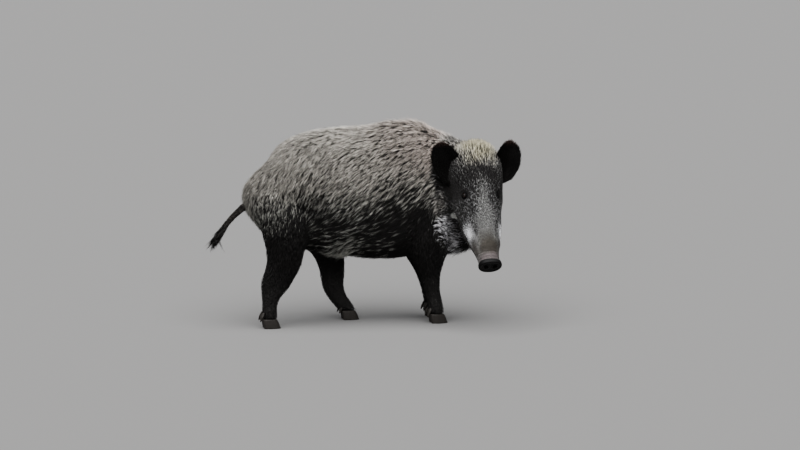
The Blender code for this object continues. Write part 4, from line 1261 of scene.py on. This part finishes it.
def disc_form():
    """Rings from the middle of the face to its edge, round the rim and down the side. Each is the egg
    |x / a|^p + |y / b|^p = size^p; the face sinks by its two nostrils and rises towards its rim."""
    turn = np.linspace(0, 2 * math.pi, DISC_SIDES, endpoint=False)
    bend = np.linspace(0.1, 1, RIM_RINGS) * math.pi / 2
    face_size = np.linspace(0.02, 0.90, DISC_RINGS)
    size = np.concatenate((face_size, 0.90 + 0.10 * np.sin(bend), (1.0, 0.99, 0.96)))
    egg = (np.abs(np.cos(turn)) ** DISC_POWER + np.abs(np.sin(turn)) ** DISC_POWER) ** (-1 / DISC_POWER)
    narrow = 1 - 0.06 * ramp(-np.sin(turn), 0, 1)
    x = size[:, None] * (egg * np.cos(turn) * narrow)[None] * DISC_HALF_WIDTH
    y = size[:, None] * (egg * np.sin(turn))[None] * DISC_HALF_HEIGHT
    drop = np.concatenate((np.zeros(DISC_RINGS), 0.0045 * (1 - np.cos(bend)), (0.008, 0.013, DISC_THICK)))
    z = DISC_THICK - drop[:, None] + 0 * x
    face = (np.arange(len(size)) < DISC_RINGS + RIM_RINGS)[:, None]
    z = z + face * (-0.0016 + 0.0018 * bump(size, 0.88, 0.13)[:, None])
    out = np.abs(x) - NOSTRIL_OUT - (y - NOSTRIL_UP) * 0.18
    pit = np.sqrt((out / NOSTRIL_WIDE) ** 2 + ((y - NOSTRIL_UP) / NOSTRIL_TALL) ** 2)
    z = z - face * NOSTRIL_DEEP * ramp(1.08 - pit, 0, 0.42) + face * 0.0014 * bump(pit, 1.30, 0.22)
    z = z - face * 0.0010 * bump(x, 0, 0.0016) * ramp(y, 0.006, 0.014)
    return disc_back + x[..., None] * TO_LEFT + y[..., None] * disc_up + z[..., None] * disc_out


nose_material, nose_tree, nose_shader = new_material("nose leather")
pebble = texture(nose_tree, "ShaderNodeTexVoronoi", Scale=NOSE_GRAIN)
nose_paint = add_node(nose_tree, "ShaderNodeMapRange", {"Value": pebble.outputs["Distance"]})
paint_grain(nose_tree, nose_shader, nose_paint.outputs[0], NOSE_DARK, NOSE_PALE)
raise_grain(nose_tree, nose_shader, pebble.outputs["Distance"], *NOSE_RELIEF)
set_gloss(nose_shader, NOSE_ROUGHNESS, NOSE_SHINE)
disc = mesh_object("nose_plate", *loft(disc_form()))
dress(disc, nose_material)
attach(disc, "root")
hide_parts("nose_disc")

# ---------------------------------------------------------------------------
# The hooves: two toes on each foot and two dewclaws behind them, of dark fibrous
# horn with rounded edges, grown out from under the last hair of the leg.
# ---------------------------------------------------------------------------
CLAW_GRAIN, CLAW_ROUNDS = 0.0016, 10
HORN_DARK, HORN_PALE = (0.004, 0.0034, 0.0030, 1), (0.020, 0.017, 0.0145, 1)
HORN_GRAIN, HORN_FIBRE, HORN_RELIEF = 340.0, (1.0, 1.0, 0.15), (0.4, 0.0008)  # drawn out down the claw
HORN_ROUGHNESS, HORN_SHINE = 0.55, 0.15
horn_material, horn_tree, horn_shader = new_material("hoof horn")
horn_grain = texture(horn_tree, "ShaderNodeTexNoise", HORN_FIBRE, Scale=HORN_GRAIN, Detail=4.0)
paint_grain(horn_tree, horn_shader, horn_grain.outputs["Fac"], HORN_DARK, HORN_PALE)
raise_grain(horn_tree, horn_shader, horn_grain.outputs["Fac"], *HORN_RELIEF)
set_gloss(horn_shader, HORN_ROUGHNESS, HORN_SHINE)
for name in [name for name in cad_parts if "hoof" in name or "dewclaw" in name]:
    claw_points, claw_faces = mesh_arrays(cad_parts[name].data)
    claw = mesh_object(f"{name}_horn", claw_points, claw_faces)
    modified(claw, "WELD", merge_threshold=WELD)
    modified(claw, "REMESH", mode="VOXEL", voxel_size=CLAW_GRAIN)
    claw_points, claw_faces = mesh_arrays(claw.data)
    low, high = claw_points.min(0), claw_points.max(0)
    round_points = eased(claw_points, links(claw_faces, len(claw_points)), CLAW_ROUNDS)
    inner_low, inner_high = round_points.min(0), round_points.max(0)
    round_points = low + (round_points - inner_low) * (high - low) / (inner_high - inner_low)
    put_points(claw.data, round_points)
    dress(claw, horn_material)
    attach(claw, "root")
    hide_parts(name)
